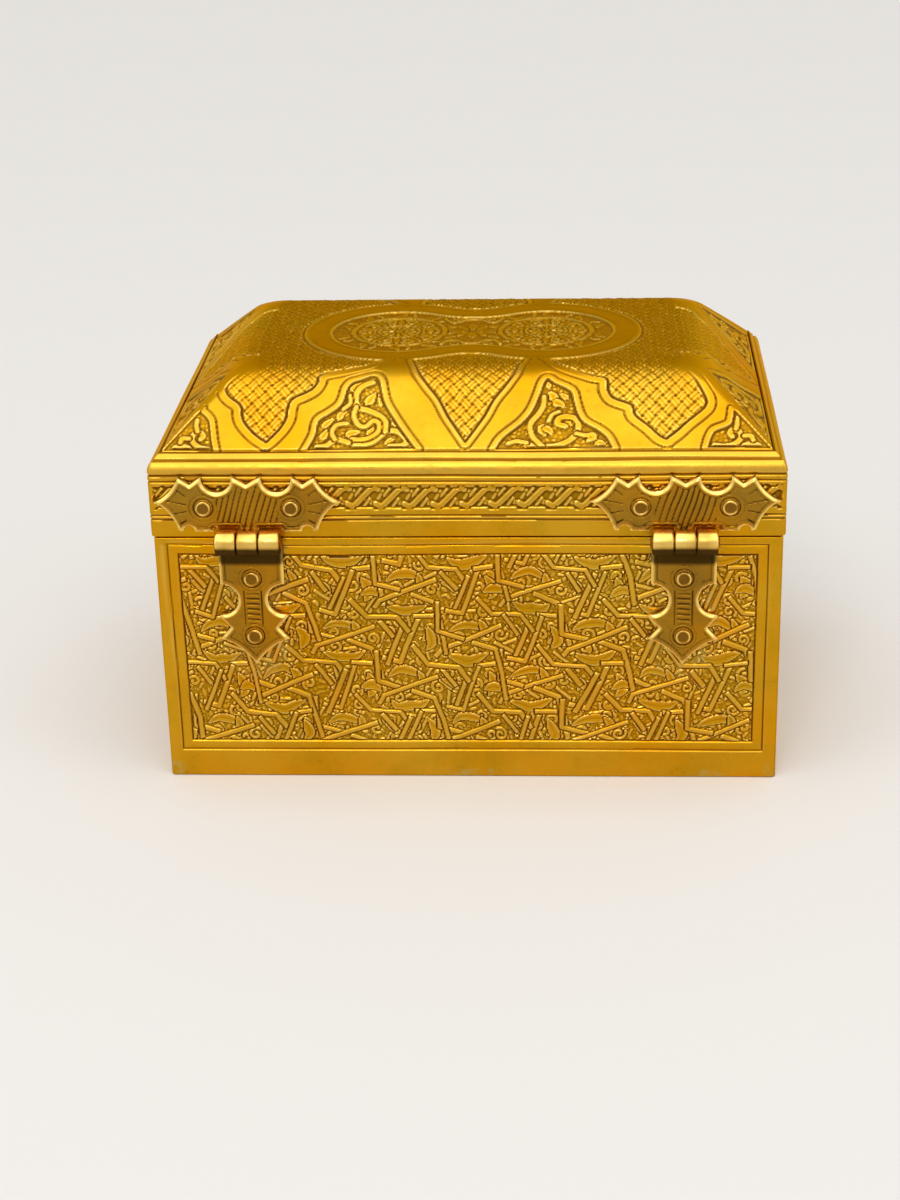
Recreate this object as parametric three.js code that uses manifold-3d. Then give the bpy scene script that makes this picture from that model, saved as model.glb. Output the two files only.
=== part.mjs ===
// Engraved brass casket: a straight-walled box under a hipped lid, on two strap hinges.
// Millimetres, +Z up. The origin is the centre of the underside. The hinges are on the -Y side
// and the hasp is on the +Y side.
import * as THREE from 'three';
import { mergeVertices } from 'three/addons/utils/BufferGeometryUtils.js';
import Module from 'manifold-3d';

const wasm = await Module();
wasm.setup();

// Body
const BODY_LENGTH = 111.2;
const BODY_DEPTH = 74;
const BODY_HEIGHT = 47.2;
const BODY_WALL = 2.2;
const BODY_CORNER = 0.8;
const BASE_THICKNESS = 1.6;
const BASE_CLEARANCE = 0.05;

// Engraved panel of each wall: a groove, a raised fillet, then the sunk ground
const PANEL_MARGIN_SIDE = 4.3;
const PANEL_MARGIN_TOP = 3.3;
const PANEL_MARGIN_FOOT = 7.1;
const PANEL_DEPTH = 0.5;
const FILLET_WIDTH = 1.5;
const GROOVE_WIDTH = 0.35;
const GROOVE_DEPTH = 0.3;

// Lid
const LID_OVERHANG = 0.4;
const SEAM_GAP = 0.2;
const RIM_HEIGHT = 13;
const RIM_WALL = 2.2;
const LID_CORNER = 1;
const SLOPE_INSET = 14.4;
const SLOPE_RISE = 13.3;
const SHOULDER_RADIUS = 1.3;
const CROWN_THICKNESS = 1.8;
const CREASE_RADIUS = 9;
const PLATEAU_CORNER = 5;
const INNER_CORNER = 0.2;

// Joint between the rim and the crown, measured in from the lid's edge
const JOINT_INSET = 2.4;
const SEAT_WIDTH = 1.1;
const SEAT_THICKNESS = 1.6;
const CROWN_CLEARANCE = 0.05;

// Mouldings of the rim, heights above the lid's lower edge
const RIM_GROOVES = [[3.1, 3.4], [3.8, 4.1], [10.8, 11.4]];
const KNOT_BAND = [5, 9.7];
const KNOT_BAND_DEPTH = 0.4;
const SHOULDER_GROOVE = [0.9, 1.35];

// Sunk fields of the crown, and the medallion of two round lobes joined by a waist
const FIELD_DEPTH = 0.4;
const FIELD_INSET = 3;
const CARTOUCHE_INSET = 3.7;
const CARTOUCHE_PLACE = 34.6;
const SPADE_HALF = 9.4;
const LOBE_OFFSET = 13.6;
const LOBE_RADIUS = 12.4;
const WAIST_HALF = 8.6;
const MEDALLION_BAND = 5.2;
const PLATEAU_MARGIN = 1.2;

// Strap hinges, each set in from its end of the body
const HINGE_INSET = 17.5;
const HINGE_CLEARANCE = 0.3;
const KNUCKLE_RADIUS = 2.25;
const KNUCKLE_LENGTH = 3.7;
const KNUCKLE_GAP = 0.15;
const KNUCKLE_EDGE = 0.3;
const PIN_RADIUS = 1.05;
const PIN_CLEARANCE = 0.1;
const PIN_PROUD = 0.3;

// Lid strap, heights above the lid's lower edge
const LID_STRAP = {
  thickness: 1.4,
  halfLength: 16.5,
  foot: 1.5,
  top: 11.7,
  tip: 6.9,
  notchHalf: 2.6,
  notchDepth: 1.5,
  scallopRadius: 2.65,
  wingNotchHalf: 2,
  archRadius: 1.05,
  rivetSpacing: 15.4,
  rivetHeight: 6,
};

// Body strap, depths below the hinge axis
const BODY_STRAP = {
  thickness: 1.2,
  shoulder: 8.8,
  scallopRadius: 2.95,
  neckHalf: 2.6,
  pointHalf: 6.2,
  upperPoint: 14.9,
  pointNotch: 17.2,
  pointNotchHalf: 4.3,
  lowerPoint: 19.4,
  tip: 24.4,
  rivets: { upper: 7.6, lower: 18.7 },
};

// Rivets
const RIVET_RADIUS = 0.85;
const RIVET_CLEARANCE = 0.05;
const RIVET_HEAD_RADIUS = 1.4;
const RIVET_HEAD_HEIGHT = 0.55;
const RIVET_TAIL_RADIUS = 1.3;
const RIVET_TAIL_HEIGHT = 0.4;
const RIVET_SIDES = 12;

// Hasp, heights above the lid's lower edge
const HASP_PLATE = {
  thickness: 1.4,
  halfLength: 13,
  foot: 5.2,
  top: 11.7,
  tip: 8.2,
  notchHalf: 2,
  notchDepth: 1.3,
  scallopRadius: 2,
  wingNotchHalf: 1.3,
  archRadius: 0,
  rivetSpacing: 15,
  rivetHeight: 8,
};
const HASP_KNUCKLE_RADIUS = 1.7;
const HASP_KNUCKLE_LENGTH = 3.2;
const HASP_PIN_RADIUS = 0.8;
const HASP_REST_ANGLE = THREE.MathUtils.degToRad(19);
const TONGUE_THICKNESS = 1.2;
const TONGUE_HALF = 5.5;
const TONGUE_BLADE_HALF = 4.6;
const TONGUE_LENGTH = 27;
const SLOT_WIDTH = 3;
const SLOT_CLEARANCE = 0.5;

// Staple that the hasp's slot drops over
const STAPLE_WIRE = 1.4;
const STAPLE_REACH = 6.5;
const STAPLE_HEIGHT = 5;
const STAPLE_DROP = 15;
const STAPLE_CLEARANCE = 0.1;
const STAPLE_FOOT = 2.2;
const STAPLE_FOOT_THICKNESS = 0.9;

// Levels and places worked out from the sizes above
const LID_LENGTH = BODY_LENGTH + 2 * LID_OVERHANG;
const LID_DEPTH = BODY_DEPTH + 2 * LID_OVERHANG;
const LID_FOOT = BODY_HEIGHT + SEAM_GAP;
const SHOULDER_Z = LID_FOOT + RIM_HEIGHT;
const LID_TOP = SHOULDER_Z + SLOPE_RISE;
const SLOPE_ANGLE = Math.atan2(SLOPE_RISE, SLOPE_INSET);
const SLOPE = Math.tan(SLOPE_ANGLE);
const CREASE_TANGENT = CREASE_RADIUS * Math.tan(SLOPE_ANGLE / 2);
const SEAT_Z = SHOULDER_Z + SLOPE * (JOINT_INSET + SEAT_WIDTH) - CROWN_THICKNESS / Math.cos(SLOPE_ANGLE);
const HINGE_SPACING = BODY_LENGTH - 2 * HINGE_INSET;
const BARREL_HALF = 1.5 * KNUCKLE_LENGTH + KNUCKLE_GAP;
const HASP_Z = LID_FOOT + HASP_PLATE.foot;

const brass = () => new THREE.MeshStandardMaterial({ color: 0xc9972f, roughness: 0.38, metalness: 1 });
const bronze = () => new THREE.MeshStandardMaterial({ color: 0x8f6424, roughness: 0.45, metalness: 1 });

// Solids and booleans

function solidFrom(geometry) {
  const bare = geometry.clone();
  bare.deleteAttribute('normal');
  bare.deleteAttribute('uv');
  const merged = mergeVertices(bare, 1e-4);
  return new wasm.Manifold(new wasm.Mesh({
    numProp: 3,
    vertProperties: new Float32Array(merged.attributes.position.array),
    triVerts: new Uint32Array(merged.index.array),
  }));
}

function geometryFrom(solid) {
  const mesh = solid.getMesh();
  const geometry = new THREE.BufferGeometry();
  geometry.setAttribute('position', new THREE.BufferAttribute(new Float32Array(mesh.vertProperties), 3));
  geometry.setIndex(new THREE.BufferAttribute(new Uint32Array(mesh.triVerts), 1));
  const facets = geometry.toNonIndexed();
  facets.computeVertexNormals();
  return facets;
}

function join(solids) {
  return solids.reduce((sum, next) => sum.add(next));
}

function cut(solid, tools) {
  return tools.reduce((rest, tool) => rest.subtract(tool), solid);
}

function shift(x, y, z) {
  return new THREE.Matrix4().makeTranslation(x, y, z);
}

// Turns a drawing in X and Y upright, facing -Y, so that its thickness grows towards -Y
const UPRIGHT = new THREE.Matrix4().makeRotationX(Math.PI / 2);

function place(...steps) {
  return steps.reduce((product, step) => product.multiply(step), new THREE.Matrix4());
}

function prism(shape, depth, placing = new THREE.Matrix4()) {
  const geometry = new THREE.ExtrudeGeometry(shape, { depth, bevelEnabled: false, curveSegments: 8 });
  return solidFrom(geometry.applyMatrix4(placing));
}

function box(low, high) {
  const size = high.map((value, axis) => value - low[axis]);
  const centre = high.map((value, axis) => (value + low[axis]) / 2);
  return solidFrom(new THREE.BoxGeometry(...size).translate(...centre));
}

function rectangle(left, foot, right, top) {
  const corners = [[left, foot], [right, foot], [right, top], [left, top]];
  return new THREE.Shape(corners.map(([x, y]) => new THREE.Vector2(x, y)));
}

function mirrorPoints(points) {
  return points.map((point) => new THREE.Vector2(-point.x, point.y)).reverse();
}

// A closed outline from its right half, which starts and ends on the middle line
function symmetricShape(half, steps = 6) {
  const right = half.getPoints(steps);
  return new THREE.Shape([...right, ...mirrorPoints(right.slice(1, -1))]);
}

// Rings and skins over them

function roundedRectangle(halfLength, halfDepth, radius, z, steps = 4) {
  const ring = [];
  const corners = [[1, 1], [-1, 1], [-1, -1], [1, -1]];
  corners.forEach(([sideX, sideY], corner) => {
    const centreX = sideX * (halfLength - radius);
    const centreY = sideY * (halfDepth - radius);
    for (let step = 0; step <= steps; step += 1) {
      const angle = (corner + step / steps) * Math.PI / 2;
      ring.push([centreX + radius * Math.cos(angle), centreY + radius * Math.sin(angle), z]);
    }
  });
  return ring;
}

// Skin over a run of rings. A looped run closes on its first ring, any other run is capped.
function loft(rings, looped) {
  const count = rings[0].length;
  const faces = [];
  const spans = looped ? rings.length : rings.length - 1;
  for (let span = 0; span < spans; span += 1) {
    const here = span * count;
    const there = ((span + 1) % rings.length) * count;
    for (let i = 0; i < count; i += 1) {
      const j = (i + 1) % count;
      faces.push(here + i, here + j, there + j, here + i, there + j, there + i);
    }
  }
  if (!looped) {
    const last = (rings.length - 1) * count;
    for (let i = 1; i < count - 1; i += 1) {
      faces.push(0, i + 1, i);
      faces.push(last, last + i, last + i + 1);
    }
  }
  const geometry = new THREE.BufferGeometry();
  geometry.setAttribute('position', new THREE.Float32BufferAttribute(rings.flat(2), 3));
  geometry.setIndex(faces);
  return solidFrom(geometry);
}

// A four-sided frame whose section is a list of [distance in from the outer face, height]
function frame(section, length, depth, corner) {
  return loft(section.map(([inset, z]) => roundedRectangle(
    length / 2 - inset,
    depth / 2 - inset,
    Math.max(corner - inset, INNER_CORNER),
    z,
  )), true);
}

// The four sides, each turned from the rear one. Along a side, X runs to the right as seen from
// outside and Y runs inwards from the outer face.
const SIDES = [
  { name: 'rear', turn: 0, long: true },
  { name: 'right', turn: Math.PI / 2, long: false },
  { name: 'front', turn: Math.PI, long: true },
  { name: 'left', turn: -Math.PI / 2, long: false },
];
const [REAR, , FRONT] = SIDES;

function onSide(side, length, depth) {
  const distance = (side.long ? depth : length) / 2;
  return place(new THREE.Matrix4().makeRotationZ(side.turn), shift(0, -distance, 0));
}

const onBody = (side) => onSide(side, BODY_LENGTH, BODY_DEPTH);
const onLid = (side) => onSide(side, LID_LENGTH, LID_DEPTH);

// One side of a frame, parted from its neighbours on the mitres
function mitred(whole, side, length, depth) {
  const outside = 10;
  const inside = 12;
  const half = (side.long ? length : depth) / 2;
  const wedge = new THREE.Shape([
    new THREE.Vector2(-half - outside, -outside),
    new THREE.Vector2(half + outside, -outside),
    new THREE.Vector2(half - inside, inside),
    new THREE.Vector2(-half + inside, inside),
  ]);
  return whole.intersect(prism(wedge, LID_TOP + outside, onSide(side, length, depth)));
}

// A tool that sinks a drawing into an outer face
function sunk(shape, sink, placing) {
  const proud = 1;
  return prism(shape, sink + proud, place(placing, shift(0, sink, 0), UPRIGHT));
}

// Rivets, and the holes that they fill

function revolved(profile, segments) {
  return new THREE.LatheGeometry(profile.map(([x, y]) => new THREE.Vector2(x, y)), segments);
}

function rivetHole(x, z, fromY, toY, placing) {
  const radius = RIVET_RADIUS + RIVET_CLEARANCE;
  const geometry = new THREE.CylinderGeometry(radius, radius, toY - fromY, RIVET_SIDES);
  return solidFrom(geometry.applyMatrix4(place(placing, shift(x, (fromY + toY) / 2, z))));
}

// The head sits at Y 0 and points to -Y, the tail is closed over at the far side of the grip
function rivet(x, y, z, grip, placing) {
  const tail = -grip - RIVET_TAIL_HEIGHT;
  const profile = [
    [0, tail],
    [0.7 * RIVET_TAIL_RADIUS, tail],
    [RIVET_TAIL_RADIUS, -grip - 0.4 * RIVET_TAIL_HEIGHT],
    [RIVET_TAIL_RADIUS, -grip],
    [RIVET_RADIUS, -grip],
    [RIVET_RADIUS, 0],
    [RIVET_HEAD_RADIUS, 0],
    [RIVET_HEAD_RADIUS, 0.5 * RIVET_HEAD_HEIGHT],
    [0.75 * RIVET_HEAD_RADIUS, RIVET_HEAD_HEIGHT],
    [0, RIVET_HEAD_HEIGHT],
  ];
  const flip = new THREE.Matrix4().makeRotationZ(Math.PI);
  return revolved(profile, RIVET_SIDES).applyMatrix4(place(placing, shift(x, y, z), flip));
}

// Hinge knuckles lie along X
const ALONG_X = new THREE.Matrix4().makeRotationZ(-Math.PI / 2);

function knuckle(fromX, toX, radius, boreRadius, placing) {
  const length = toX - fromX;
  const profile = [
    [boreRadius, 0],
    [radius - KNUCKLE_EDGE, 0],
    [radius, KNUCKLE_EDGE],
    [radius, length - KNUCKLE_EDGE],
    [radius - KNUCKLE_EDGE, length],
    [boreRadius, length],
    [boreRadius, 0],
  ];
  return solidFrom(revolved(profile, 24).applyMatrix4(place(placing, shift(fromX, 0, 0), ALONG_X)));
}

function hingePin(half, radius, placing) {
  const profile = [
    [0, -half],
    [radius - PIN_PROUD / 2, -half],
    [radius, -half + PIN_PROUD / 2],
    [radius, half - PIN_PROUD / 2],
    [radius - PIN_PROUD / 2, half],
    [0, half],
  ];
  return revolved(profile, 20).applyMatrix4(place(placing, ALONG_X));
}

// Body

function wallFrame() {
  const section = [[0, 0], [0, BODY_HEIGHT], [BODY_WALL, BODY_HEIGHT], [BODY_WALL, 0]];
  return frame(section, BODY_LENGTH, BODY_DEPTH, BODY_CORNER);
}

function panelTools(side) {
  const half = (side.long ? BODY_LENGTH : BODY_DEPTH) / 2;
  const outline = (grow) => rectangle(
    -half + PANEL_MARGIN_SIDE - grow,
    PANEL_MARGIN_FOOT - grow,
    half - PANEL_MARGIN_SIDE + grow,
    BODY_HEIGHT - PANEL_MARGIN_TOP + grow,
  );
  const groove = outline(FILLET_WIDTH + GROOVE_WIDTH);
  groove.holes.push(outline(FILLET_WIDTH));
  return [sunk(outline(0), PANEL_DEPTH, onBody(side)), sunk(groove, GROOVE_DEPTH, onBody(side))];
}

const HINGES = [
  { name: 'left', x: -HINGE_SPACING / 2 },
  { name: 'right', x: HINGE_SPACING / 2 },
];

function bodyRivetPlaces() {
  return HINGES.flatMap((hinge) => Object.entries(BODY_STRAP.rivets).map(([level, drop]) => ({
    name: `body_strap_rivet_${hinge.name}_${level}`,
    x: hinge.x,
    z: LID_FOOT - drop,
  })));
}

function stapleLegs() {
  const top = HASP_Z - STAPLE_DROP;
  return [top - STAPLE_HEIGHT, top - STAPLE_WIRE];
}

function stapleHoles() {
  const half = STAPLE_WIRE / 2 + STAPLE_CLEARANCE;
  const inner = BODY_DEPTH / 2 - BODY_WALL - 1;
  return stapleLegs().map((foot) => box(
    [-half, inner, foot - STAPLE_CLEARANCE],
    [half, BODY_DEPTH / 2 + 1, foot + STAPLE_WIRE + STAPLE_CLEARANCE],
  ));
}

function bodyWall(side) {
  const holes = {
    rear: () => bodyRivetPlaces().map(({ x, z }) => rivetHole(x, z, -1, BODY_WALL + 1, onBody(side))),
    front: stapleHoles,
  };
  const wall = mitred(wallFrame(), side, BODY_LENGTH, BODY_DEPTH);
  return cut(wall, [...panelTools(side), ...(holes[side.name]?.() ?? [])]);
}

function basePlate() {
  const inset = BODY_WALL + BASE_CLEARANCE;
  const half = [BODY_LENGTH / 2 - inset, BODY_DEPTH / 2 - inset];
  return box([-half[0], -half[1], 0], [half[0], half[1], BASE_THICKNESS]);
}

// Lid rim: plain band, grooves, sunk knot band, rounded shoulder and a rebate for the crown

function slopeHeight(inset, below = 0) {
  return SHOULDER_Z + SLOPE * inset - below / Math.cos(SLOPE_ANGLE);
}

function sunkRun([foot, top], depth) {
  const batter = 0.06;
  return [
    [0, LID_FOOT + foot],
    [depth, LID_FOOT + foot + batter],
    [depth, LID_FOOT + top - batter],
    [0, LID_FOOT + top],
  ];
}

function rimSection() {
  const turn = Math.PI / 2 - SLOPE_ANGLE;
  const tangent = SHOULDER_RADIUS * Math.tan(turn / 2);
  const shoulder = [0, 1 / 3, 2 / 3, 1].map((share) => [
    SHOULDER_RADIUS * (1 - Math.cos(share * turn)),
    SHOULDER_Z - tangent + SHOULDER_RADIUS * Math.sin(share * turn),
  ]);
  const [grooveStart, grooveEnd] = SHOULDER_GROOVE;
  return [
    [0, LID_FOOT],
    ...sunkRun(RIM_GROOVES[0], GROOVE_DEPTH),
    ...sunkRun(RIM_GROOVES[1], GROOVE_DEPTH),
    ...sunkRun(KNOT_BAND, KNOT_BAND_DEPTH),
    ...sunkRun(RIM_GROOVES[2], GROOVE_DEPTH),
    ...shoulder,
    [grooveStart, slopeHeight(grooveStart)],
    [(grooveStart + grooveEnd) / 2, slopeHeight((grooveStart + grooveEnd) / 2, GROOVE_DEPTH)],
    [grooveEnd, slopeHeight(grooveEnd)],
    [JOINT_INSET, slopeHeight(JOINT_INSET)],
    [JOINT_INSET, SEAT_Z],
    [JOINT_INSET + SEAT_WIDTH, SEAT_Z],
    [JOINT_INSET + SEAT_WIDTH, SEAT_Z - SEAT_THICKNESS],
    [RIM_WALL, SEAT_Z - 2 * SEAT_THICKNESS],
    [RIM_WALL, LID_FOOT],
  ];
}

function lidRivetPlaces() {
  return HINGES.flatMap((hinge) => [-1, 1].map((sign) => ({
    name: `lid_strap_rivet_${hinge.name}_${sign < 0 ? 'left' : 'right'}`,
    x: hinge.x + sign * LID_STRAP.rivetSpacing / 2,
    z: LID_FOOT + LID_STRAP.rivetHeight,
  })));
}

// Left and right are as seen from the hinge side, so the front's places are mirrored
function haspRivetPlaces() {
  return [-1, 1].map((sign) => ({
    name: `hasp_rivet_${sign < 0 ? 'left' : 'right'}`,
    x: -sign * HASP_PLATE.rivetSpacing / 2,
    z: LID_FOOT + HASP_PLATE.rivetHeight,
  }));
}

function rimBar(side) {
  const places = { rear: lidRivetPlaces(), front: haspRivetPlaces() }[side.name] ?? [];
  const bar = mitred(frame(rimSection(), LID_LENGTH, LID_DEPTH, LID_CORNER), side, LID_LENGTH, LID_DEPTH);
  return cut(bar, places.map(({ x, z }) => rivetHole(x, z, -1, RIM_WALL + 1, onLid(side))));
}

// Crown: a hipped shell with a rounded crease between the slopes and the flat top

function crownRing(inset, z) {
  const span = SLOPE_INSET + CREASE_TANGENT - JOINT_INSET;
  const share = Math.max(inset - JOINT_INSET, 0) / span;
  const radius = THREE.MathUtils.lerp(INNER_CORNER, PLATEAU_CORNER, Math.min(share, 1));
  return roundedRectangle(LID_LENGTH / 2 - inset, LID_DEPTH / 2 - inset, radius, z, 6);
}

// Rings of the crown's skin at a depth below its outer face, from the seat up to the flat top
function crownSkin(startInset, below, steps = 5) {
  const rings = [crownRing(startInset, SEAT_Z)];
  const startZ = slopeHeight(startInset, below);
  if (startZ > SEAT_Z + INNER_CORNER) {
    rings.push(crownRing(startInset, startZ));
  }
  for (let step = 0; step <= steps; step += 1) {
    const angle = SLOPE_ANGLE * (1 - step / steps);
    const radius = CREASE_RADIUS - below;
    rings.push(crownRing(
      SLOPE_INSET + CREASE_TANGENT - radius * Math.sin(angle),
      LID_TOP - CREASE_RADIUS + radius * Math.cos(angle),
    ));
  }
  return rings;
}

function crownShell(below) {
  const outside = crownSkin(JOINT_INSET + CROWN_CLEARANCE, below);
  const inside = crownSkin(JOINT_INSET + SEAT_WIDTH, CROWN_THICKNESS);
  return loft([...inside.reverse(), ...outside], false);
}

// Outlines of the sunk fields, seen from above. X runs along the side, Y in from the lid's edge.

function spadeField() {
  const half = new THREE.Path();
  half.moveTo(0, CARTOUCHE_INSET);
  half.lineTo(SPADE_HALF, SLOPE_INSET);
  half.lineTo(SPADE_HALF + 1, LID_DEPTH / 4);
  half.lineTo(SPADE_HALF + 1, LID_DEPTH / 3);
  half.lineTo(0, LID_DEPTH / 3);
  return symmetricShape(half);
}

// Lobed cartouche of a long side, pointing down to the shoulder
function lobedField() {
  const field = new THREE.Shape();
  const x = (offset) => CARTOUCHE_PLACE + offset;
  field.moveTo(x(0), CARTOUCHE_INSET);
  field.quadraticCurveTo(x(5.2), 6.4, x(7.6), 9.2);
  field.quadraticCurveTo(x(8.2), 11.6, x(5.6), 13.4);
  field.lineTo(x(4.6), SLOPE_INSET + 3);
  field.lineTo(x(-14), SLOPE_INSET + 3);
  field.lineTo(x(-14.2), SLOPE_INSET + 0.2);
  field.quadraticCurveTo(x(-10.8), 13.8, x(-10), 12.2);
  field.quadraticCurveTo(x(-9.6), 9.6, x(-6.2), 8.8);
  field.quadraticCurveTo(x(-5.6), 6.6, x(0), CARTOUCHE_INSET);
  return field;
}

// Lobed cartouche of a short side
function endField() {
  const half = new THREE.Path();
  half.moveTo(0, CARTOUCHE_INSET);
  half.quadraticCurveTo(4.8, 6.4, 6.6, 9);
  half.quadraticCurveTo(10, 9.6, 10.6, 12.2);
  half.quadraticCurveTo(11.4, 13.8, 14, SLOPE_INSET + 0.2);
  half.lineTo(14, SLOPE_INSET + 3);
  half.lineTo(0, SLOPE_INSET + 3);
  return symmetricShape(half);
}

function spandrel() {
  const field = new THREE.Shape();
  field.moveTo(5, FIELD_INSET);
  field.quadraticCurveTo(11.6, 7, 14.2, 12.8);
  field.quadraticCurveTo(15.6, 10.8, 18.2, 10.6);
  field.quadraticCurveTo(18, 7.2, 21.4, 5.9);
  field.quadraticCurveTo(24.2, 4.8, 25.6, FIELD_INSET);
  return field;
}

function endSpandrel() {
  const field = new THREE.Shape();
  field.moveTo(8.5, FIELD_INSET);
  field.quadraticCurveTo(12.6, 5, 13.4, 8);
  field.quadraticCurveTo(16.6, 8.4, 18.6, 11.4);
  field.lineTo(22, 12.6);
  field.lineTo(31.4, FIELD_INSET);
  return field;
}

function cornerField() {
  const field = new THREE.Shape();
  field.moveTo(42.6, FIELD_INSET);
  field.quadraticCurveTo(43.2, 5.6, 46.2, 8.2);
  field.lineTo(51.4, FIELD_INSET);
  return field;
}

// The flat top round the medallion
function plateauField() {
  const inset = SLOPE_INSET + PLATEAU_MARGIN;
  const inner = 19;
  const field = new THREE.Shape();
  field.moveTo(inner, inset);
  field.lineTo(LID_LENGTH / 2 - inset - 2, inset);
  field.lineTo(LID_LENGTH / 2 - inset, inset + 2);
  field.lineTo(LID_LENGTH / 2 - inset, LID_DEPTH / 2);
  field.lineTo(inner, LID_DEPTH / 2);
  return field;
}

function medallion(grow) {
  const waistRadius = (LOBE_OFFSET ** 2 + WAIST_HALF ** 2 - LOBE_RADIUS ** 2)
    / (2 * (LOBE_RADIUS - WAIST_HALF));
  const waistCentre = WAIST_HALF + waistRadius;
  const lobe = Math.atan2(waistCentre, -LOBE_OFFSET);
  const waist = Math.atan2(-waistCentre, LOBE_OFFSET);
  const shape = new THREE.Shape();
  shape.absarc(LOBE_OFFSET, 0, LOBE_RADIUS + grow, -lobe, lobe, false);
  shape.absarc(0, waistCentre, waistRadius - grow, waist, -Math.PI - waist, true);
  shape.absarc(-LOBE_OFFSET, 0, LOBE_RADIUS + grow, Math.PI - lobe, Math.PI + lobe, false);
  shape.absarc(0, -waistCentre, waistRadius - grow, Math.PI + waist, -waist, true);
  return shape;
}

function mirroredShape(shape) {
  return new THREE.Shape(mirrorPoints(shape.getPoints(8)));
}

function crownFields() {
  const height = LID_TOP + 1;
  const both = (shape) => [shape, mirroredShape(shape)];
  const longShapes = [spadeField(), ...[lobedField(), spandrel(), cornerField(), plateauField()].flatMap(both)];
  const endShapes = [endField(), ...both(endSpandrel())];
  const fields = SIDES.flatMap((side) => (side.long ? longShapes : endShapes)
    .map((shape) => prism(shape, height, onLid(side))));
  const round = join(fields).subtract(prism(medallion(MEDALLION_BAND), height));
  return round.add(prism(medallion(0), height));
}

function crown() {
  return crownShell(0).subtract(crownFields()).add(crownShell(FIELD_DEPTH));
}

// Straps. Each is drawn in a frame that stands on an outer face at the height of the lid's lower
// edge: X to the right, Y inwards, Z up. A hinge axis lies at Y -out.

// Bat-wing outline: a notch between two peaks, round scallops, notched wings and side tips
function wingOutline(strap) {
  const peakHeight = 0.3;
  const scallop = strap.notchHalf + strap.scallopRadius;
  const wing = strap.notchHalf + 2 * strap.scallopRadius;
  const wingEnd = wing + 2 * strap.wingNotchHalf;
  const scallopZ = strap.top - peakHeight;
  const half = new THREE.Path();
  half.moveTo(0, strap.top - strap.notchDepth);
  half.lineTo(strap.notchHalf, strap.top);
  half.lineTo(strap.notchHalf, scallopZ);
  half.absarc(scallop, scallopZ, strap.scallopRadius, Math.PI, 2 * Math.PI, false);
  half.lineTo(wing, strap.top);
  half.lineTo(wing + strap.wingNotchHalf, strap.top - strap.notchDepth);
  half.lineTo(wingEnd, strap.top - 0.2);
  half.quadraticCurveTo(wingEnd + 1.5, strap.tip + 1.2, strap.halfLength, strap.tip);
  half.quadraticCurveTo(wingEnd + 1.7, strap.tip - 0.9, wingEnd + 0.3, strap.foot + 0.1);
  if (strap.archRadius > 0) {
    const arch = wingEnd - 0.4 - strap.archRadius;
    half.lineTo(wingEnd - 0.4, strap.foot);
    half.absarc(arch, strap.foot, strap.archRadius, 0, Math.PI, false);
  }
  half.lineTo(0, strap.foot);
  return symmetricShape(half);
}

// Plate, waist between two scallops, two pairs of points and a tip
function bodyStrapOutline() {
  const strap = BODY_STRAP;
  const scallopZ = -strap.shoulder - strap.scallopRadius;
  const half = new THREE.Path();
  half.moveTo(0, -SEAM_GAP);
  half.lineTo(BARREL_HALF, -SEAM_GAP);
  half.lineTo(BARREL_HALF, -strap.shoulder);
  half.absarc(
    strap.neckHalf + strap.scallopRadius,
    scallopZ,
    strap.scallopRadius,
    Math.PI / 2,
    1.5 * Math.PI,
    false,
  );
  half.lineTo(strap.pointHalf, -strap.upperPoint);
  half.lineTo(strap.pointNotchHalf, -strap.pointNotch);
  half.lineTo(strap.pointHalf, -strap.lowerPoint);
  half.quadraticCurveTo(strap.neckHalf, -strap.lowerPoint - 1, 0, -strap.tip);
  return symmetricShape(half);
}

function plate(outline, thickness, placing) {
  return prism(outline, thickness, place(placing, UPRIGHT));
}

// What a leaf leaves free round a knuckle of the other leaf
function knuckleRoom(fromX, toX, axisZ, out, radius, thickness, placing) {
  const spare = 1;
  const rise = Math.sqrt((radius + HINGE_CLEARANCE) ** 2 - (out - thickness) ** 2);
  const outline = rectangle(fromX, axisZ - rise, toX, axisZ + rise);
  return prism(outline, thickness + 2 * spare, place(placing, shift(0, spare, 0), UPRIGHT));
}

function pinBore(half, radius, placing) {
  const bore = radius + PIN_CLEARANCE;
  const spare = 1;
  const geometry = new THREE.CylinderGeometry(bore, bore, 2 * (half + spare), 24);
  return solidFrom(geometry.applyMatrix4(place(placing, ALONG_X)));
}

function riveted(leaf, places, thickness, side) {
  const reach = thickness + 1;
  return cut(leaf, places.map(({ x, z }) => rivetHole(x, z, -reach, 1, side)));
}

const HINGE_OUT = HINGE_CLEARANCE + KNUCKLE_RADIUS;
const HASP_OUT = HINGE_CLEARANCE + HASP_KNUCKLE_RADIUS;

// The lid strap's leaf runs down behind the barrel and carries the middle knuckle
function lidStrap(hinge) {
  const placing = place(onLid(REAR), shift(hinge.x, 0, LID_FOOT));
  const half = KNUCKLE_LENGTH / 2;
  const room = BARREL_HALF + HINGE_CLEARANCE;
  const { thickness, foot } = LID_STRAP;
  const wing = cut(plate(wingOutline(LID_STRAP), thickness, placing), [
    knuckleRoom(-room, -half, 0, HINGE_OUT, KNUCKLE_RADIUS, thickness, placing),
    knuckleRoom(half, room, 0, HINGE_OUT, KNUCKLE_RADIUS, thickness, placing),
  ]);
  const leaf = plate(rectangle(-half, 0, half, foot + 1), thickness, placing);
  const axis = place(placing, shift(0, -HINGE_OUT, 0));
  const roll = knuckle(-half, half, KNUCKLE_RADIUS, PIN_RADIUS + PIN_CLEARANCE, axis);
  const strap = join([wing, leaf, roll]).subtract(pinBore(half, PIN_RADIUS, axis));
  return riveted(strap, lidRivetPlaces(), thickness, onLid(REAR));
}

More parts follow.
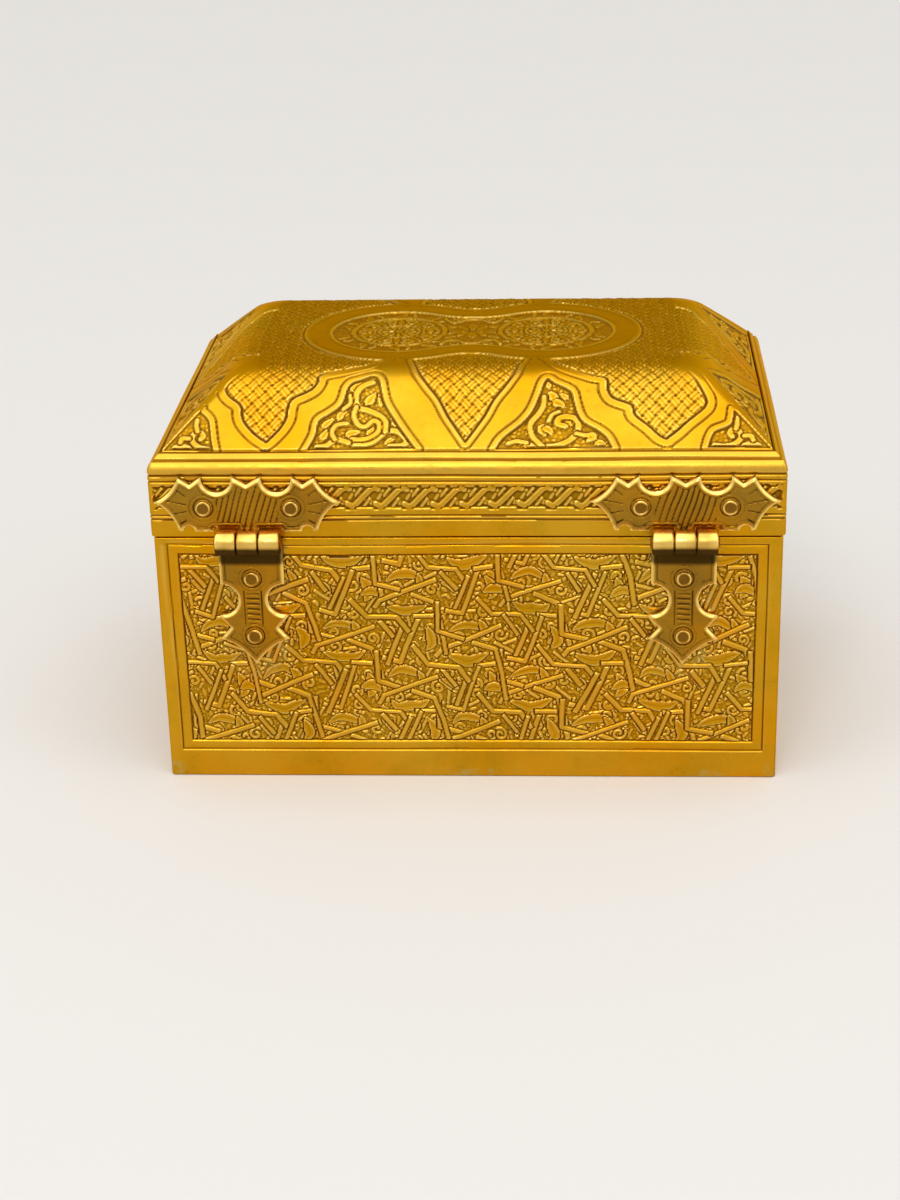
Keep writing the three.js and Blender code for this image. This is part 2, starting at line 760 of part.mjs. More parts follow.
// The body strap carries the two outer knuckles, with room for the middle one between them
function bodyStrap(hinge) {
  const placing = place(onBody(REAR), shift(hinge.x, 0, LID_FOOT));
  const half = KNUCKLE_LENGTH / 2 + KNUCKLE_GAP;
  const { thickness } = BODY_STRAP;
  const out = HINGE_OUT + LID_OVERHANG;
  const leaf = plate(bodyStrapOutline(), thickness, placing)
    .subtract(knuckleRoom(-half, half, 0, out, KNUCKLE_RADIUS, thickness, placing));
  const axis = place(placing, shift(0, -out, 0));
  const rolls = [[-BARREL_HALF, -half], [half, BARREL_HALF]]
    .map(([fromX, toX]) => knuckle(fromX, toX, KNUCKLE_RADIUS, PIN_RADIUS + PIN_CLEARANCE, axis));
  const strap = join([leaf, ...rolls]).subtract(pinBore(BARREL_HALF, PIN_RADIUS, axis));
  return riveted(strap, bodyRivetPlaces(), thickness, onBody(REAR));
}

// Hasp: a plate on the lid with the outer knuckles, and a slotted tongue with the middle one

const HASP_BARREL_HALF = 1.5 * HASP_KNUCKLE_LENGTH + KNUCKLE_GAP;

function haspAxis() {
  return place(onLid(FRONT), shift(0, -HASP_OUT, LID_FOOT + HASP_PLATE.foot));
}

function haspPlate() {
  const placing = place(onLid(FRONT), shift(0, 0, LID_FOOT));
  const half = HASP_KNUCKLE_LENGTH / 2 + KNUCKLE_GAP;
  const { thickness, foot } = HASP_PLATE;
  const leaf = plate(wingOutline(HASP_PLATE), thickness, placing)
    .subtract(knuckleRoom(-half, half, foot, HASP_OUT, HASP_KNUCKLE_RADIUS, thickness, placing));
  const rolls = [[-HASP_BARREL_HALF, -half], [half, HASP_BARREL_HALF]].map(([fromX, toX]) => knuckle(
    fromX,
    toX,
    HASP_KNUCKLE_RADIUS,
    HASP_PIN_RADIUS + PIN_CLEARANCE,
    haspAxis(),
  ));
  const strap = join([leaf, ...rolls]).subtract(pinBore(HASP_BARREL_HALF, HASP_PIN_RADIUS, haspAxis()));
  return riveted(strap, haspRivetPlaces(), thickness, onLid(FRONT));
}

// The slot clears the staple all the way along the tongue's swing
function tongueSlot() {
  const half = SLOT_WIDTH / 2;
  const reachPastAxis = STAPLE_REACH - HASP_OUT - LID_OVERHANG;
  const top = -(STAPLE_DROP - SLOT_CLEARANCE) - half;
  const foot = -(Math.hypot(reachPastAxis, STAPLE_DROP + STAPLE_HEIGHT) + SLOT_CLEARANCE) + half;
  const slot = new THREE.Path();
  slot.absarc(0, top, half, 0, Math.PI, false);
  slot.absarc(0, foot, half, Math.PI, 2 * Math.PI, false);
  return slot;
}

function tongueOutline() {
  const neck = HASP_KNUCKLE_LENGTH / 2;
  const neckFoot = HASP_OUT + 0.1;
  const scallopRadius = 2.3;
  const shoulder = 4.6;
  const scallopFoot = shoulder + 2 * scallopRadius;
  const half = new THREE.Path();
  half.moveTo(0, 0);
  half.lineTo(neck, 0);
  half.lineTo(neck, -neckFoot);
  half.quadraticCurveTo(neck + 1, -shoulder + 0.4, TONGUE_HALF, -shoulder);
  half.absarc(TONGUE_HALF, -shoulder - scallopRadius, scallopRadius, Math.PI / 2, 1.5 * Math.PI, false);
  half.lineTo(TONGUE_BLADE_HALF, -scallopFoot - 1.8);
  half.lineTo(TONGUE_BLADE_HALF, -TONGUE_LENGTH + 6);
  half.lineTo(TONGUE_HALF, -TONGUE_LENGTH + 4.6);
  half.quadraticCurveTo(neck, -TONGUE_LENGTH + 3.8, 0, -TONGUE_LENGTH);
  const shape = symmetricShape(half);
  shape.holes.push(tongueSlot());
  return shape;
}

function haspTongue() {
  const half = HASP_KNUCKLE_LENGTH / 2;
  const swung = place(haspAxis(), new THREE.Matrix4().makeRotationX(-HASP_REST_ANGLE));
  const blade = plate(tongueOutline(), TONGUE_THICKNESS, place(swung, shift(0, TONGUE_THICKNESS / 2, 0)));
  const roll = knuckle(-half, half, HASP_KNUCKLE_RADIUS, HASP_PIN_RADIUS + PIN_CLEARANCE, swung);
  return blade.add(roll).subtract(pinBore(half, HASP_PIN_RADIUS, swung));
}

// Staple: a round-ended loop of square wire, its legs turned out flat inside the wall
function staple() {
  const top = HASP_Z - STAPLE_DROP;
  const foot = top - STAPLE_HEIGHT;
  const radius = STAPLE_HEIGHT / 2;
  const end = STAPLE_REACH - radius;
  const inside = -(BODY_WALL + STAPLE_CLEARANCE);
  const flat = inside - STAPLE_FOOT_THICKNESS;
  const outline = new THREE.Shape();
  outline.moveTo(inside, foot);
  outline.lineTo(end, foot);
  outline.absarc(end, foot + radius, radius, -Math.PI / 2, Math.PI / 2, false);
  outline.lineTo(inside, top);
  outline.lineTo(inside, top + STAPLE_FOOT);
  outline.lineTo(flat, top + STAPLE_FOOT);
  outline.lineTo(flat, top - STAPLE_WIRE);
  outline.absarc(end, foot + radius, radius - STAPLE_WIRE, Math.PI / 2, -Math.PI / 2, true);
  outline.lineTo(flat, foot + STAPLE_WIRE);
  outline.lineTo(flat, foot - STAPLE_FOOT);
  outline.lineTo(inside, foot - STAPLE_FOOT);
  const sideways = new THREE.Matrix4().makeBasis(
    new THREE.Vector3(0, -1, 0),
    new THREE.Vector3(0, 0, 1),
    new THREE.Vector3(-1, 0, 0),
  );
  return prism(outline, STAPLE_WIRE, place(onBody(FRONT), shift(STAPLE_WIRE / 2, 0, 0), sideways));
}

// The casket

const casket = new THREE.Group();

function add(name, geometry, material) {
  const mesh = new THREE.Mesh(geometry, material());
  mesh.name = name;
  casket.add(mesh);
}

function addSolid(name, solid, material) {
  add(name, geometryFrom(solid), material);
}

function addRivets(places, thickness, wall, placing) {
  for (const { name, x, z } of places) {
    add(name, rivet(x, -thickness, z, thickness + wall, placing), bronze);
  }
}

for (const side of SIDES) {
  addSolid(`body_wall_${side.name}`, bodyWall(side), brass);
  addSolid(`lid_rim_${side.name}`, rimBar(side), brass);
}
addSolid('base_plate', basePlate(), brass);
addSolid('lid_crown', crown(), brass);

for (const hinge of HINGES) {
  const axis = place(onLid(REAR), shift(hinge.x, -HINGE_OUT, LID_FOOT));
  addSolid(`lid_strap_${hinge.name}`, lidStrap(hinge), bronze);
  addSolid(`body_strap_${hinge.name}`, bodyStrap(hinge), bronze);
  add(`hinge_pin_${hinge.name}`, hingePin(BARREL_HALF + PIN_PROUD, PIN_RADIUS, axis), bronze);
}
addRivets(lidRivetPlaces(), LID_STRAP.thickness, RIM_WALL, onLid(REAR));
addRivets(bodyRivetPlaces(), BODY_STRAP.thickness, BODY_WALL, onBody(REAR));

addSolid('hasp_plate', haspPlate(), bronze);
addRivets(haspRivetPlaces(), HASP_PLATE.thickness, RIM_WALL, onLid(FRONT));
add('hasp_pin', hingePin(HASP_BARREL_HALF + PIN_PROUD, HASP_PIN_RADIUS, haspAxis()), bronze);
addSolid('hasp_tongue', haspTongue(), bronze);
addSolid('staple', staple(), bronze);

export default casket;
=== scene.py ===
# Engraved brass casket: the chased surfaces, materials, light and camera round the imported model.
# Lengths are written in millimetres and turned into metres where a mesh is made.
import math

import bpy
import numpy as np
from mathutils import Matrix, Vector
from mathutils.geometry import delaunay_2d_cdt


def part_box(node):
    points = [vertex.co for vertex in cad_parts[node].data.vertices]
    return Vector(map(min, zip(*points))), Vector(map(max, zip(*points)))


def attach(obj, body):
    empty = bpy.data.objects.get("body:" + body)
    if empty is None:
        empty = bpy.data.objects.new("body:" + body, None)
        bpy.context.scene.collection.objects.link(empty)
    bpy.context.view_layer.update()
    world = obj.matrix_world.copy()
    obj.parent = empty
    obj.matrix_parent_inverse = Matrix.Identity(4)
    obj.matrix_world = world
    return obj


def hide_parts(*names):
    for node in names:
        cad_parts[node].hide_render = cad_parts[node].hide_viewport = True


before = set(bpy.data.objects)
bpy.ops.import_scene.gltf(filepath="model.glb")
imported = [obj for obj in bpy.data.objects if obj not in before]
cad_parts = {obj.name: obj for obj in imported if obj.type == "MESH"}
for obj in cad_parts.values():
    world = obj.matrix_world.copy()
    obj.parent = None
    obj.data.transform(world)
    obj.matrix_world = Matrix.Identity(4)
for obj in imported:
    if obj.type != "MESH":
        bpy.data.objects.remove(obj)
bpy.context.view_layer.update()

MM = 0.001
COARSE = 1.0


def cad_box(node):
    low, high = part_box(node)
    return np.array(low) / MM, np.array(high) / MM


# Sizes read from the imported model
body_low, body_high = cad_box("body_wall_rear")
BODY_HALF = body_high[0]
BODY_DEPTH_HALF = -body_low[1]
BODY_TOP = body_high[2]
lid_low, lid_high = cad_box("lid_rim_rear")
LID_HALF = lid_high[0]
LID_DEPTH_HALF = -lid_low[1]
LID_FOOT = lid_low[2]
LID_TOP = cad_box("lid_crown")[1][2]
SEAT_Z = cad_box("lid_crown")[0][2]

# Sizes of the sections, as in the solids
WALL = 2.2
BODY_CORNER = 0.8
LID_CORNER = 1.0
RIM_HEIGHT = 13.0
SLOPE_INSET = 14.4
SLOPE_RISE = 13.3
# The shoulder is rubbed rounder than the solid's
SHOULDER_RADIUS = 2.6
CREASE_RADIUS = 9.0
CROWN_THICKNESS = 1.8
JOINT_INSET = 2.4
SEAT_WIDTH = 1.1
SEAT_THICKNESS = 1.6
CROWN_CLEARANCE = 0.05
SHOULDER_Z = LID_FOOT + RIM_HEIGHT
SLOPE_ANGLE = math.atan2(SLOPE_RISE, SLOPE_INSET)
SLOPE = math.tan(SLOPE_ANGLE)
CREASE_TANGENT = CREASE_RADIUS * math.tan(SLOPE_ANGLE / 2)

# Panel of each wall
PANEL_SIDE = 4.3
PANEL_TOP = 3.3
PANEL_FOOT = 7.1
PANEL_DEPTH = 0.5
FILLET = 1.5
FILLET_FALL = 0.16
GROOVE = 0.35
GROOVE_DEPTH = 0.3

# Hinges and hasp
HINGE_X = 38.1
HINGE_CLEARANCE = 0.3
KNUCKLE_RADIUS = 2.25
KNUCKLE_LENGTH = 3.7
KNUCKLE_GAP = 0.15
PIN_RADIUS = 1.05
PIN_PROUD = 0.3
HINGE_OUT = HINGE_CLEARANCE + KNUCKLE_RADIUS
BARREL_HALF = 1.5 * KNUCKLE_LENGTH + KNUCKLE_GAP
LID_OVERHANG = LID_DEPTH_HALF - BODY_DEPTH_HALF
LID_STRAP = {
    "thickness": 1.4,
    "half_length": 16.5,
    "foot": 1.5,
    "top": 11.7,
    "tip": 6.9,
    "notch_half": 2.6,
    "notch_depth": 1.5,
    "scallop": 2.65,
    "wing_notch": 2.0,
    "arch": 1.05,
    "rivet_x": 7.7,
    "rivet_z": 6.0,
}
BODY_STRAP = {
    "thickness": 1.2,
    "shoulder": 8.8,
    "scallop": 2.95,
    "neck_half": 2.6,
    "point_half": 6.2,
    "upper_point": 14.9,
    "point_notch": 17.2,
    "point_notch_half": 4.3,
    "lower_point": 19.4,
    "tip": 24.4,
    "rivets": {"upper": 7.6, "lower": 18.7},
}
HASP_PLATE = {
    "thickness": 1.4,
    "half_length": 13.0,
    "foot": 5.2,
    "top": 11.7,
    "tip": 8.2,
    "notch_half": 2.0,
    "notch_depth": 1.3,
    "scallop": 2.0,
    "wing_notch": 1.3,
    "arch": 0.0,
    "rivet_x": 7.5,
    "rivet_z": 8.0,
}
HASP_KNUCKLE_RADIUS = 1.7
HASP_KNUCKLE_LENGTH = 3.2
HASP_PIN_RADIUS = 0.8
HASP_OUT = HINGE_CLEARANCE + HASP_KNUCKLE_RADIUS
HASP_BARREL_HALF = 1.5 * HASP_KNUCKLE_LENGTH + KNUCKLE_GAP
HASP_REST_ANGLE = math.radians(19)
TONGUE_THICKNESS = 1.2
TONGUE_HALF = 5.5
TONGUE_BLADE_HALF = 4.6
TONGUE_LENGTH = 27.0
SLOT_WIDTH = 3.0
SLOT_CLEARANCE = 0.5
STAPLE_REACH = 6.5
STAPLE_HEIGHT = 5.0
STAPLE_DROP = 15.0
RIVET_RADIUS = 0.85
RIVET_HEAD_RADIUS = 1.4
RIVET_HEAD_HEIGHT = 0.55
RIVET_TAIL_RADIUS = 1.3
RIVET_TAIL_HEIGHT = 0.4


# Small helpers for curves and distances


BEND_STEPS = 8
SPIRAL_STEPS = 20
BLUR_ROUNDS = 4


def smooth(low, high, value):
    share = np.clip((value - low) / (high - low), 0.0, 1.0)
    return share * share * (3.0 - 2.0 * share)


def v_cut(offset, width):
    """1 along the middle of a cut, falling evenly to 0 at this width on both sides."""
    return np.clip(1 - np.abs(offset) / width, 0, 1)


def round_cut(offset, width):
    """The same with a rounded bottom."""
    return np.clip(1 - (np.abs(offset) / width) ** 2, 0, 1)


def curve(points, steps=5):
    """A smooth line through the points."""
    points = np.asarray(points, float)
    padded = np.vstack([2 * points[0] - points[1], points, 2 * points[-1] - points[-2]])
    t = (np.arange(steps) / steps)[:, None]
    parts = []
    for a, b, c, d in zip(padded, padded[1:], padded[2:], padded[3:]):
        parts.append(
            0.5 * (2 * b + (c - a) * t + (2 * a - 5 * b + 4 * c - d) * t**2 + (3 * b - a - 3 * c + d) * t**3)
        )
    parts.append(points[-1:])
    return np.vstack(parts)


def polar(centre, radius, angle):
    return np.column_stack([centre[0] + radius * np.cos(angle), centre[1] + radius * np.sin(angle)])


def arc(centre, radius, start, end, steps):
    return polar(centre, radius, np.linspace(start, end, steps + 1))


def bend(start, control, end):
    """A quadratic curve."""
    t = np.linspace(0.0, 1.0, BEND_STEPS + 1)[:, None]
    start, control, end = (np.asarray(point, float) for point in (start, control, end))
    return (1 - t) ** 2 * start + 2 * t * (1 - t) * control + t**2 * end


def both_halves(half):
    """A closed outline from its right half, which starts and ends on the middle line."""
    half = np.asarray(half, float)
    return np.vstack([half, (half * (-1, 1))[-2:0:-1]])


def spiral(centre, outer, inner, start, turns):
    """A curl that winds inwards. A negative number of turns winds clockwise."""
    share = np.linspace(0.0, 1.0, SPIRAL_STEPS + 1)
    return polar(centre, outer + (inner - outer) * share, start + 2 * math.pi * turns * share)


def nearest_on_line(line, u, v):
    """Distance from each sample to the line, and how far along the line the nearest point is."""
    steps = np.diff(line, axis=0)
    lengths = np.maximum(np.hypot(steps[:, 0], steps[:, 1]), 1e-9)
    starts = np.concatenate([[0.0], np.cumsum(lengths)])
    best = np.full(u.shape, np.inf)
    share = np.zeros(u.shape)
    for (u0, v0), (du, dv), length, start in zip(line, steps, lengths, starts):
        t = np.clip(((u - u0) * du + (v - v0) * dv) / length**2, 0.0, 1.0)
        distance = (u - u0 - t * du) ** 2 + (v - v0 - t * dv) ** 2
        closer = distance < best
        best = np.where(closer, distance, best)
        share = np.where(closer, start + t * length, share)
    return np.sqrt(best), share / starts[-1]


def squared_ends(line, u, v, distance, width):
    """The distance from a line whose two ends are cut off straight."""
    for tip, before in ((line[0], line[1]), (line[-1], line[-2])):
        way = (tip - before) / math.dist(tip, before)
        past = (u - tip[0]) * way[0] + (v - tip[1]) * way[1]
        aside = np.abs((u - tip[0]) * way[1] - (v - tip[1]) * way[0])
        at_tip = (past > 0) & (np.hypot(past, aside) < distance + 1e-6)
        distance = np.where(at_tip, np.maximum(aside, past + width), distance)
    return distance


def inside_outline(outline, u, v):
    inside = np.zeros(u.shape, bool)
    for (u0, v0), (u1, v1) in zip(outline, np.roll(outline, -1, axis=0)):
        if v0 != v1:
            crosses = (v0 > v) != (v1 > v)
            inside ^= crosses & (u < u0 + (v - v0) * (u1 - u0) / (v1 - v0))
    return inside


def inside_loops(loops, points):
    """Which points lie inside the first loop and outside the others."""
    inside = inside_outline(loops[0], points[:, 0], points[:, 1])
    for hole in loops[1:]:
        inside &= ~inside_outline(hole, points[:, 0], points[:, 1])
    return inside


FAR = 9.0
# A place along a side that no outline comes near
OUT_OF_REACH = 1000.0


def signed_distance(outline, u, v):
    """Distance to a closed outline, negative inside. Samples well away from it are left at FAR."""
    outline = np.asarray(outline, float)
    low, high = outline.min(0) - 7, outline.max(0) + 7
    near = (u > low[0]) & (u < high[0]) & (v > low[1]) & (v < high[1])
    result = np.full(u.shape, FAR)
    distance, _ = nearest_on_line(np.vstack([outline, outline[:1]]), u[near], v[near])
    result[near] = np.where(inside_outline(outline, u[near], v[near]), -distance, distance)
    return result


def drift(u, v, size, amount, seed):
    """The slow wander of hand work, the same on each run."""
    rng = np.random.default_rng(seed)
    total = np.zeros(np.shape(u))
    for _ in range(5):
        angle, phase = rng.uniform(0, 2 * math.pi, 2)
        wave = 2 * math.pi / (size * rng.uniform(0.7, 1.5))
        total = total + np.sin((u * math.cos(angle) + v * math.sin(angle)) * wave + phase)
    return amount * total / 2


def skin_dip(u, v, seed):
    """How far the plain surface lies under the solid's, a little uneven."""
    return 0.05 + drift(u, v, 45, 0.02, seed)


def blurred(grid):
    for _ in range(BLUR_ROUNDS):
        for axis in (0, 1):
            pad = [(1, 1) if axis == side else (0, 0) for side in (0, 1)]
            wide = np.pad(grid, pad, mode="edge")
            count = grid.shape[axis]
            parts = [np.take(wide, range(first, first + count), axis=axis) for first in range(3)]
            grid = sum(parts) / 3
    return grid


def graded(start, *runs):
    """Places from a start through runs of (end, spacing), each run divided evenly."""
    parts = []
    for end, spacing in runs:
        count = max(1, round(abs(end - start) / (spacing * COARSE)))
        parts.append(np.linspace(start, end, count, endpoint=False))
        start = end
    return np.append(np.concatenate(parts), start)


def mirrored(half):
    """Places on both sides of the middle, from the half that starts at 0."""
    return np.concatenate([-half[:0:-1], half])


# Chased relief over sample points. Heights are measured out of the plain surface.


class Relief:
    EDGE = 0.17
    MOAT = 0.2

    def __init__(self, u, v, ground, filling=None):
        self.u = u
        self.v = v
        self.ground = ground
        self.height = np.full(u.shape, ground) if filling is None else filling

    def near(self, line, reach):
        low, high = line.min(0) - reach, line.max(0) + reach
        return np.nonzero(
            (self.u > low[0]) & (self.u < high[0]) & (self.v > low[1]) & (self.v < high[1])
        )

    def raise_line(self, line, half, top, dome=0.05, moat=MOAT, square=False, deep=1.0):
        """A strap, stem or leaf along a line. What it crosses is cut back beside it."""
        widest = max(half(np.linspace(0, 1, 9))) if callable(half) else half
        near = self.near(line, widest + self.EDGE + moat)
        if not len(near[0]):
            return
        distance, share = nearest_on_line(line, self.u[near], self.v[near])
        width = half(share) if callable(half) else half
        if square:
            distance = squared_ends(line, self.u[near], self.v[near], distance, width)
        out = distance - width
        crest = top - dome * np.clip(distance / np.maximum(width, 0.05), 0, 1) ** 3
        fall = smooth(0, self.EDGE, out)
        foot = deep * self.ground
        raised = crest * (1 - fall) + foot * fall
        old = self.height[near]
        limit = foot * (1 - smooth(self.EDGE, self.EDGE + moat, out))
        self.height[near] = np.maximum(np.minimum(old, limit), raised)

    def cut_line(self, line, half, depth):
        near = self.near(line, half)
        if not len(near[0]):
            return
        distance, _ = nearest_on_line(line, self.u[near], self.v[near])
        self.height[near] -= depth * v_cut(distance, half)


LEAF_TIP = 0.14
WEAVE_PITCH = 1.62
STRAND_HALF = 0.6
STRAND_DROP = 0.26
STRAND_DOME = 0.05
STRAND_SPLIT = 0.15
CHIP_TABLE = 64


def leaf_width(widest):
    return lambda share: LEAF_TIP + (widest - LEAF_TIP) * np.sin(math.pi * share) ** 0.8


def drop_width(widest, end=0.12):
    """Widest near the start, as a comma leaf is."""
    return lambda share: end + (widest - end) * np.sin(math.pi * share**0.6) ** 0.9


def basket(u, v, ground):
    """Strands in two crossing directions that go over and under in turn, each split by a groove."""

    def strands(across, along, turn):
        line = np.round(across)
        offset = np.abs(across - line) * WEAVE_PITCH
        swell = np.tanh(2.2 * turn * np.cos(math.pi * (along + line))) / np.tanh(2.2)
        crest = -0.01 - STRAND_DROP * (1 - swell) / 2 - STRAND_SPLIT * v_cut(offset, 0.17)
        fall = smooth(STRAND_HALF, STRAND_HALF + 0.14, offset)
        return (crest - STRAND_DOME * (offset / STRAND_HALF) ** 3) * (1 - fall) + ground * fall

    scale = math.sqrt(2) * WEAVE_PITCH
    a, b = (u + v) / scale, (u - v) / scale
    return np.maximum(strands(a, b, 1), strands(b, a, -1))


def chips(u, v, size, gap, ground, seed, top):
    """Small closely set chips of uneven height with narrow gaps between them."""
    table = np.random.default_rng(seed).random((CHIP_TABLE, CHIP_TABLE, 3))
    column, row = np.floor(u / size[0]), np.floor(v / size[1])
    first = np.full(u.shape, np.inf)
    second = np.full(u.shape, np.inf)
    share = np.zeros(u.shape)
    for beside in (-1, 0, 1):
        for above in (-1, 0, 1):
            cell = ((column + beside) % CHIP_TABLE).astype(int), ((row + above) % CHIP_TABLE).astype(int)
            own = table[cell]
            middle_u = (column + beside + 0.1 + 0.8 * own[..., 0]) * size[0]
            middle_v = (row + above + 0.1 + 0.8 * own[..., 1]) * size[1]
            distance = np.hypot(u - middle_u, v - middle_v)
            nearest = distance < first
            second = np.where(nearest, first, np.minimum(second, distance))
            share = np.where(nearest, own[..., 2], share)
            first = np.where(nearest, distance, first)
    inside = smooth(gap, gap + 0.16, (second - first) / 2)
    return ground + inside * (-top - 0.14 * share - ground)


def wear(heights, depth):
    """How sunk and how exposed each sample is, for the material."""
    soft = blurred(heights)
    hollow_and_shade = np.clip(0.42 * -heights / depth + 3.2 * (soft - heights), 0, 1)
    edge = np.clip(3.0 * (heights - soft), 0, 1)
    return hollow_and_shade, edge


# Meshes


def grid_faces(rows, columns, wrap):
    """Quads over a grid of samples, with the first row joined to the last where it wraps."""
    r = np.arange(rows if wrap else rows - 1)[:, None]
    c = np.arange(columns - 1)[None, :]
    above = (r + 1) % rows
    corners = [r * columns + c, r * columns + c + 1, above * columns + c + 1, above * columns + c]
    return np.stack(corners, axis=-1).reshape(-1, 4)


def quad_uv(left, right, foot, top):
    """The places of each quad's corners on the bake's square."""
    corners = [(left, foot), (right, foot), (right, top), (left, top)]
    corners = [np.stack(np.broadcast_arrays(*corner), axis=-1) for corner in corners]
    return np.stack(corners, axis=1).reshape(-1, 2)


def set_attribute(mesh, key, values):
    layer = mesh.attributes.new(key, "FLOAT", "POINT")
    layer.data.foreach_set("value", np.asarray(values, np.float32).ravel())


def make_mesh(name, vertices, polygons, attributes=None, corner_uv=None, sharp=60):
    """polygons is a list of arrays, each with faces of one number of corners."""
    mesh = bpy.data.meshes.new(name)
    corners = np.concatenate([np.asarray(faces).ravel() for faces in polygons]).astype(np.int32)
    sizes = np.concatenate([np.full(len(faces), np.shape(faces)[1]) for faces in polygons])
    starts = np.concatenate([[0], np.cumsum(sizes)[:-1]]).astype(np.int32)
    mesh.vertices.add(len(vertices))
    mesh.vertices.foreach_set("co", (np.asarray(vertices) * MM).astype(np.float32).ravel())
    mesh.loops.add(len(corners))
    mesh.loops.foreach_set("vertex_index", corners)
    mesh.polygons.add(len(sizes))
    mesh.polygons.foreach_set("loop_start", starts)
    mesh.update(calc_edges=True)
    for key, values in (attributes or {}).items():
        set_attribute(mesh, key, values)
    if corner_uv is not None:
        layer = mesh.uv_layers.new(name="OFBake")
        layer.data.foreach_set("uv", np.asarray(corner_uv, np.float32).ravel())
    mesh.polygons.foreach_set("use_smooth", np.ones(len(sizes), bool))
    mesh.set_sharp_from_angle(angle=math.radians(sharp))
    return mesh


def new_object(name, data):
    thing = bpy.data.objects.new(name, data)
    bpy.context.scene.collection.objects.link(thing)
    return thing


def add_piece(name, mesh, body, slot, *nodes):
    piece = new_object(name, mesh)
    mesh.materials.append(BRASS[slot])
    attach(piece, body)
    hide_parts(*nodes)


# Materials


class Graph:
    """A material's nodes, with short calls for the few kinds that are used."""

    def __init__(self, name):
        self.material = bpy.data.materials.new(name)
        self.material.use_nodes = True
        self.tree = self.material.node_tree
        self.shader = self.tree.nodes["Principled BSDF"]

    def put(self, kind, inputs, **settings):
        node = self.tree.nodes.new(kind)
        for key, value in settings.items():
            setattr(node, key, value)
        for key, value in inputs.items():
            if isinstance(value, bpy.types.NodeSocket):
                self.tree.links.new(value, node.inputs[key])
            else:
                node.inputs[key].default_value = value
        return node

    def noise(self, scale, detail, stretch=(1, 1, 1), roughness=0.5):
        coordinates = self.put("ShaderNodeTexCoord", {}).outputs["Object"]
        place = self.put("ShaderNodeMapping", {"Vector": coordinates, "Scale": stretch}).outputs["Vector"]
        inputs = {"Vector": place, "Scale": scale, "Detail": detail, "Roughness": roughness}
        return self.put("ShaderNodeTexNoise", inputs).outputs["Fac"]

    def attribute(self, name):
        return self.put("ShaderNodeAttribute", {}, attribute_name=name).outputs["Fac"]

    def spread(self, value, low, high, to_low=0.0, to_high=1.0):
        inputs = {"Value": value, "From Min": low, "From Max": high, "To Min": to_low, "To Max": to_high}
        return self.put("ShaderNodeMapRange", inputs).outputs["Result"]

    def sum(self, a, b, kind="ADD"):
        return self.put("ShaderNodeMath", {0: a, 1: b}, operation=kind).outputs[0]

    def mix(self, factor, a, b):
        """Sockets 6, 7 and 2 are the ones for colours."""
        return self.put("ShaderNodeMix", {0: factor, 6: a, 7: b}, data_type="RGBA").outputs[2]

    def feed(self, key, value):
        self.tree.links.new(value, self.shader.inputs[key])


def linear(red, green, blue):
    """A colour as it is seen on a screen, turned into the linear one that nodes take."""
    parts = [((c + 0.055) / 1.055) ** 2.4 if c > 0.04045 else c / 12.92 for c in (red, green, blue)]
    return (*parts, 1.0)


def brass(name, rough, tarnish, colours):
    """Old brass: warm and olive patches, dark recesses, painted shade on and below the barrels and over the
    lid's top, rubbed edges with a painted highlight along the lid's shoulder, fine scratches and pits.
    """
    base, warm, olive, recess, shine, top_shade_colour = (linear(*colour) for colour in colours)
    g = Graph(name)
    hollow_and_shade = g.attribute("hollow_and_shade")
    edge = g.attribute("edge")
    patches = g.spread(g.noise(42, 4), 0.38, 0.66)
    clouds = g.spread(g.noise(95, 5, roughness=0.62), 0.42, 0.7, 0.0, tarnish)
    specks = g.spread(g.noise(900, 3), 0.56, 0.72, 0.0, 0.6)
    colour = g.mix(patches, base, warm)
    colour = g.mix(clouds, colour, olive)
    colour = g.mix(g.sum(specks, clouds, "MULTIPLY"), colour, recess)
    # Painted shade over the lid's crease and flat top
    colour = g.mix(g.spread(g.attribute("painted_top_shade"), 0.0, 1.0, 0.0, 0.8), colour, top_shade_colour)
    # Recesses darken, and the same colour paints the shade on and below the barrels
    colour = g.mix(g.spread(hollow_and_shade, 0.12, 0.85), colour, recess)
    dried = g.sum(g.attribute("residue"), g.spread(g.noise(650, 3), 0.42, 0.62, 0.0, 0.75), "MULTIPLY")
    colour = g.mix(dried, colour, linear(0.74, 0.63, 0.30))
    # Rubbed edges lighten, and the same colour paints a highlight along the lid's shoulder
    colour = g.mix(g.spread(edge, 0.1, 0.8, 0.0, 0.85), colour, shine)
    g.feed("Base Color", colour)
    g.shader.inputs["Specular Tint"].default_value = linear(1.0, 0.84, 0.42)
    g.feed("Metallic", g.spread(hollow_and_shade, 0.1, 0.9, 1.0, 0.62))
    fine = g.spread(g.noise(260, 4), 0.3, 0.7, rough, rough + 0.2)
    roughness = g.sum(fine, g.spread(hollow_and_shade, 0.1, 0.9, 0.0, 0.3))
    roughness = g.sum(roughness, g.spread(edge, 0.1, 0.8, 0.0, 0.14), "SUBTRACT")
    g.feed("Roughness", roughness)
    long_scratches = g.spread(g.noise(700, 2, (0.07, 1, 1)), 0.5, 0.62)
    cross_scratches = g.spread(g.noise(620, 2, (1, 0.4, 0.09)), 0.54, 0.64)
    height = g.sum(g.sum(long_scratches, cross_scratches), 0.11, "MULTIPLY")
    # Marks of the hammer, then pits
    for scale, share in ((150, 1.6), (2400, 0.35)):
        height = g.sum(height, g.sum(g.noise(scale, 2), share, "MULTIPLY"))
    bump = g.put("ShaderNodeBump", {"Strength": 0.3, "Distance": 0.0001, "Height": height})
    g.feed("Normal", bump.outputs["Normal"])
    return g.material
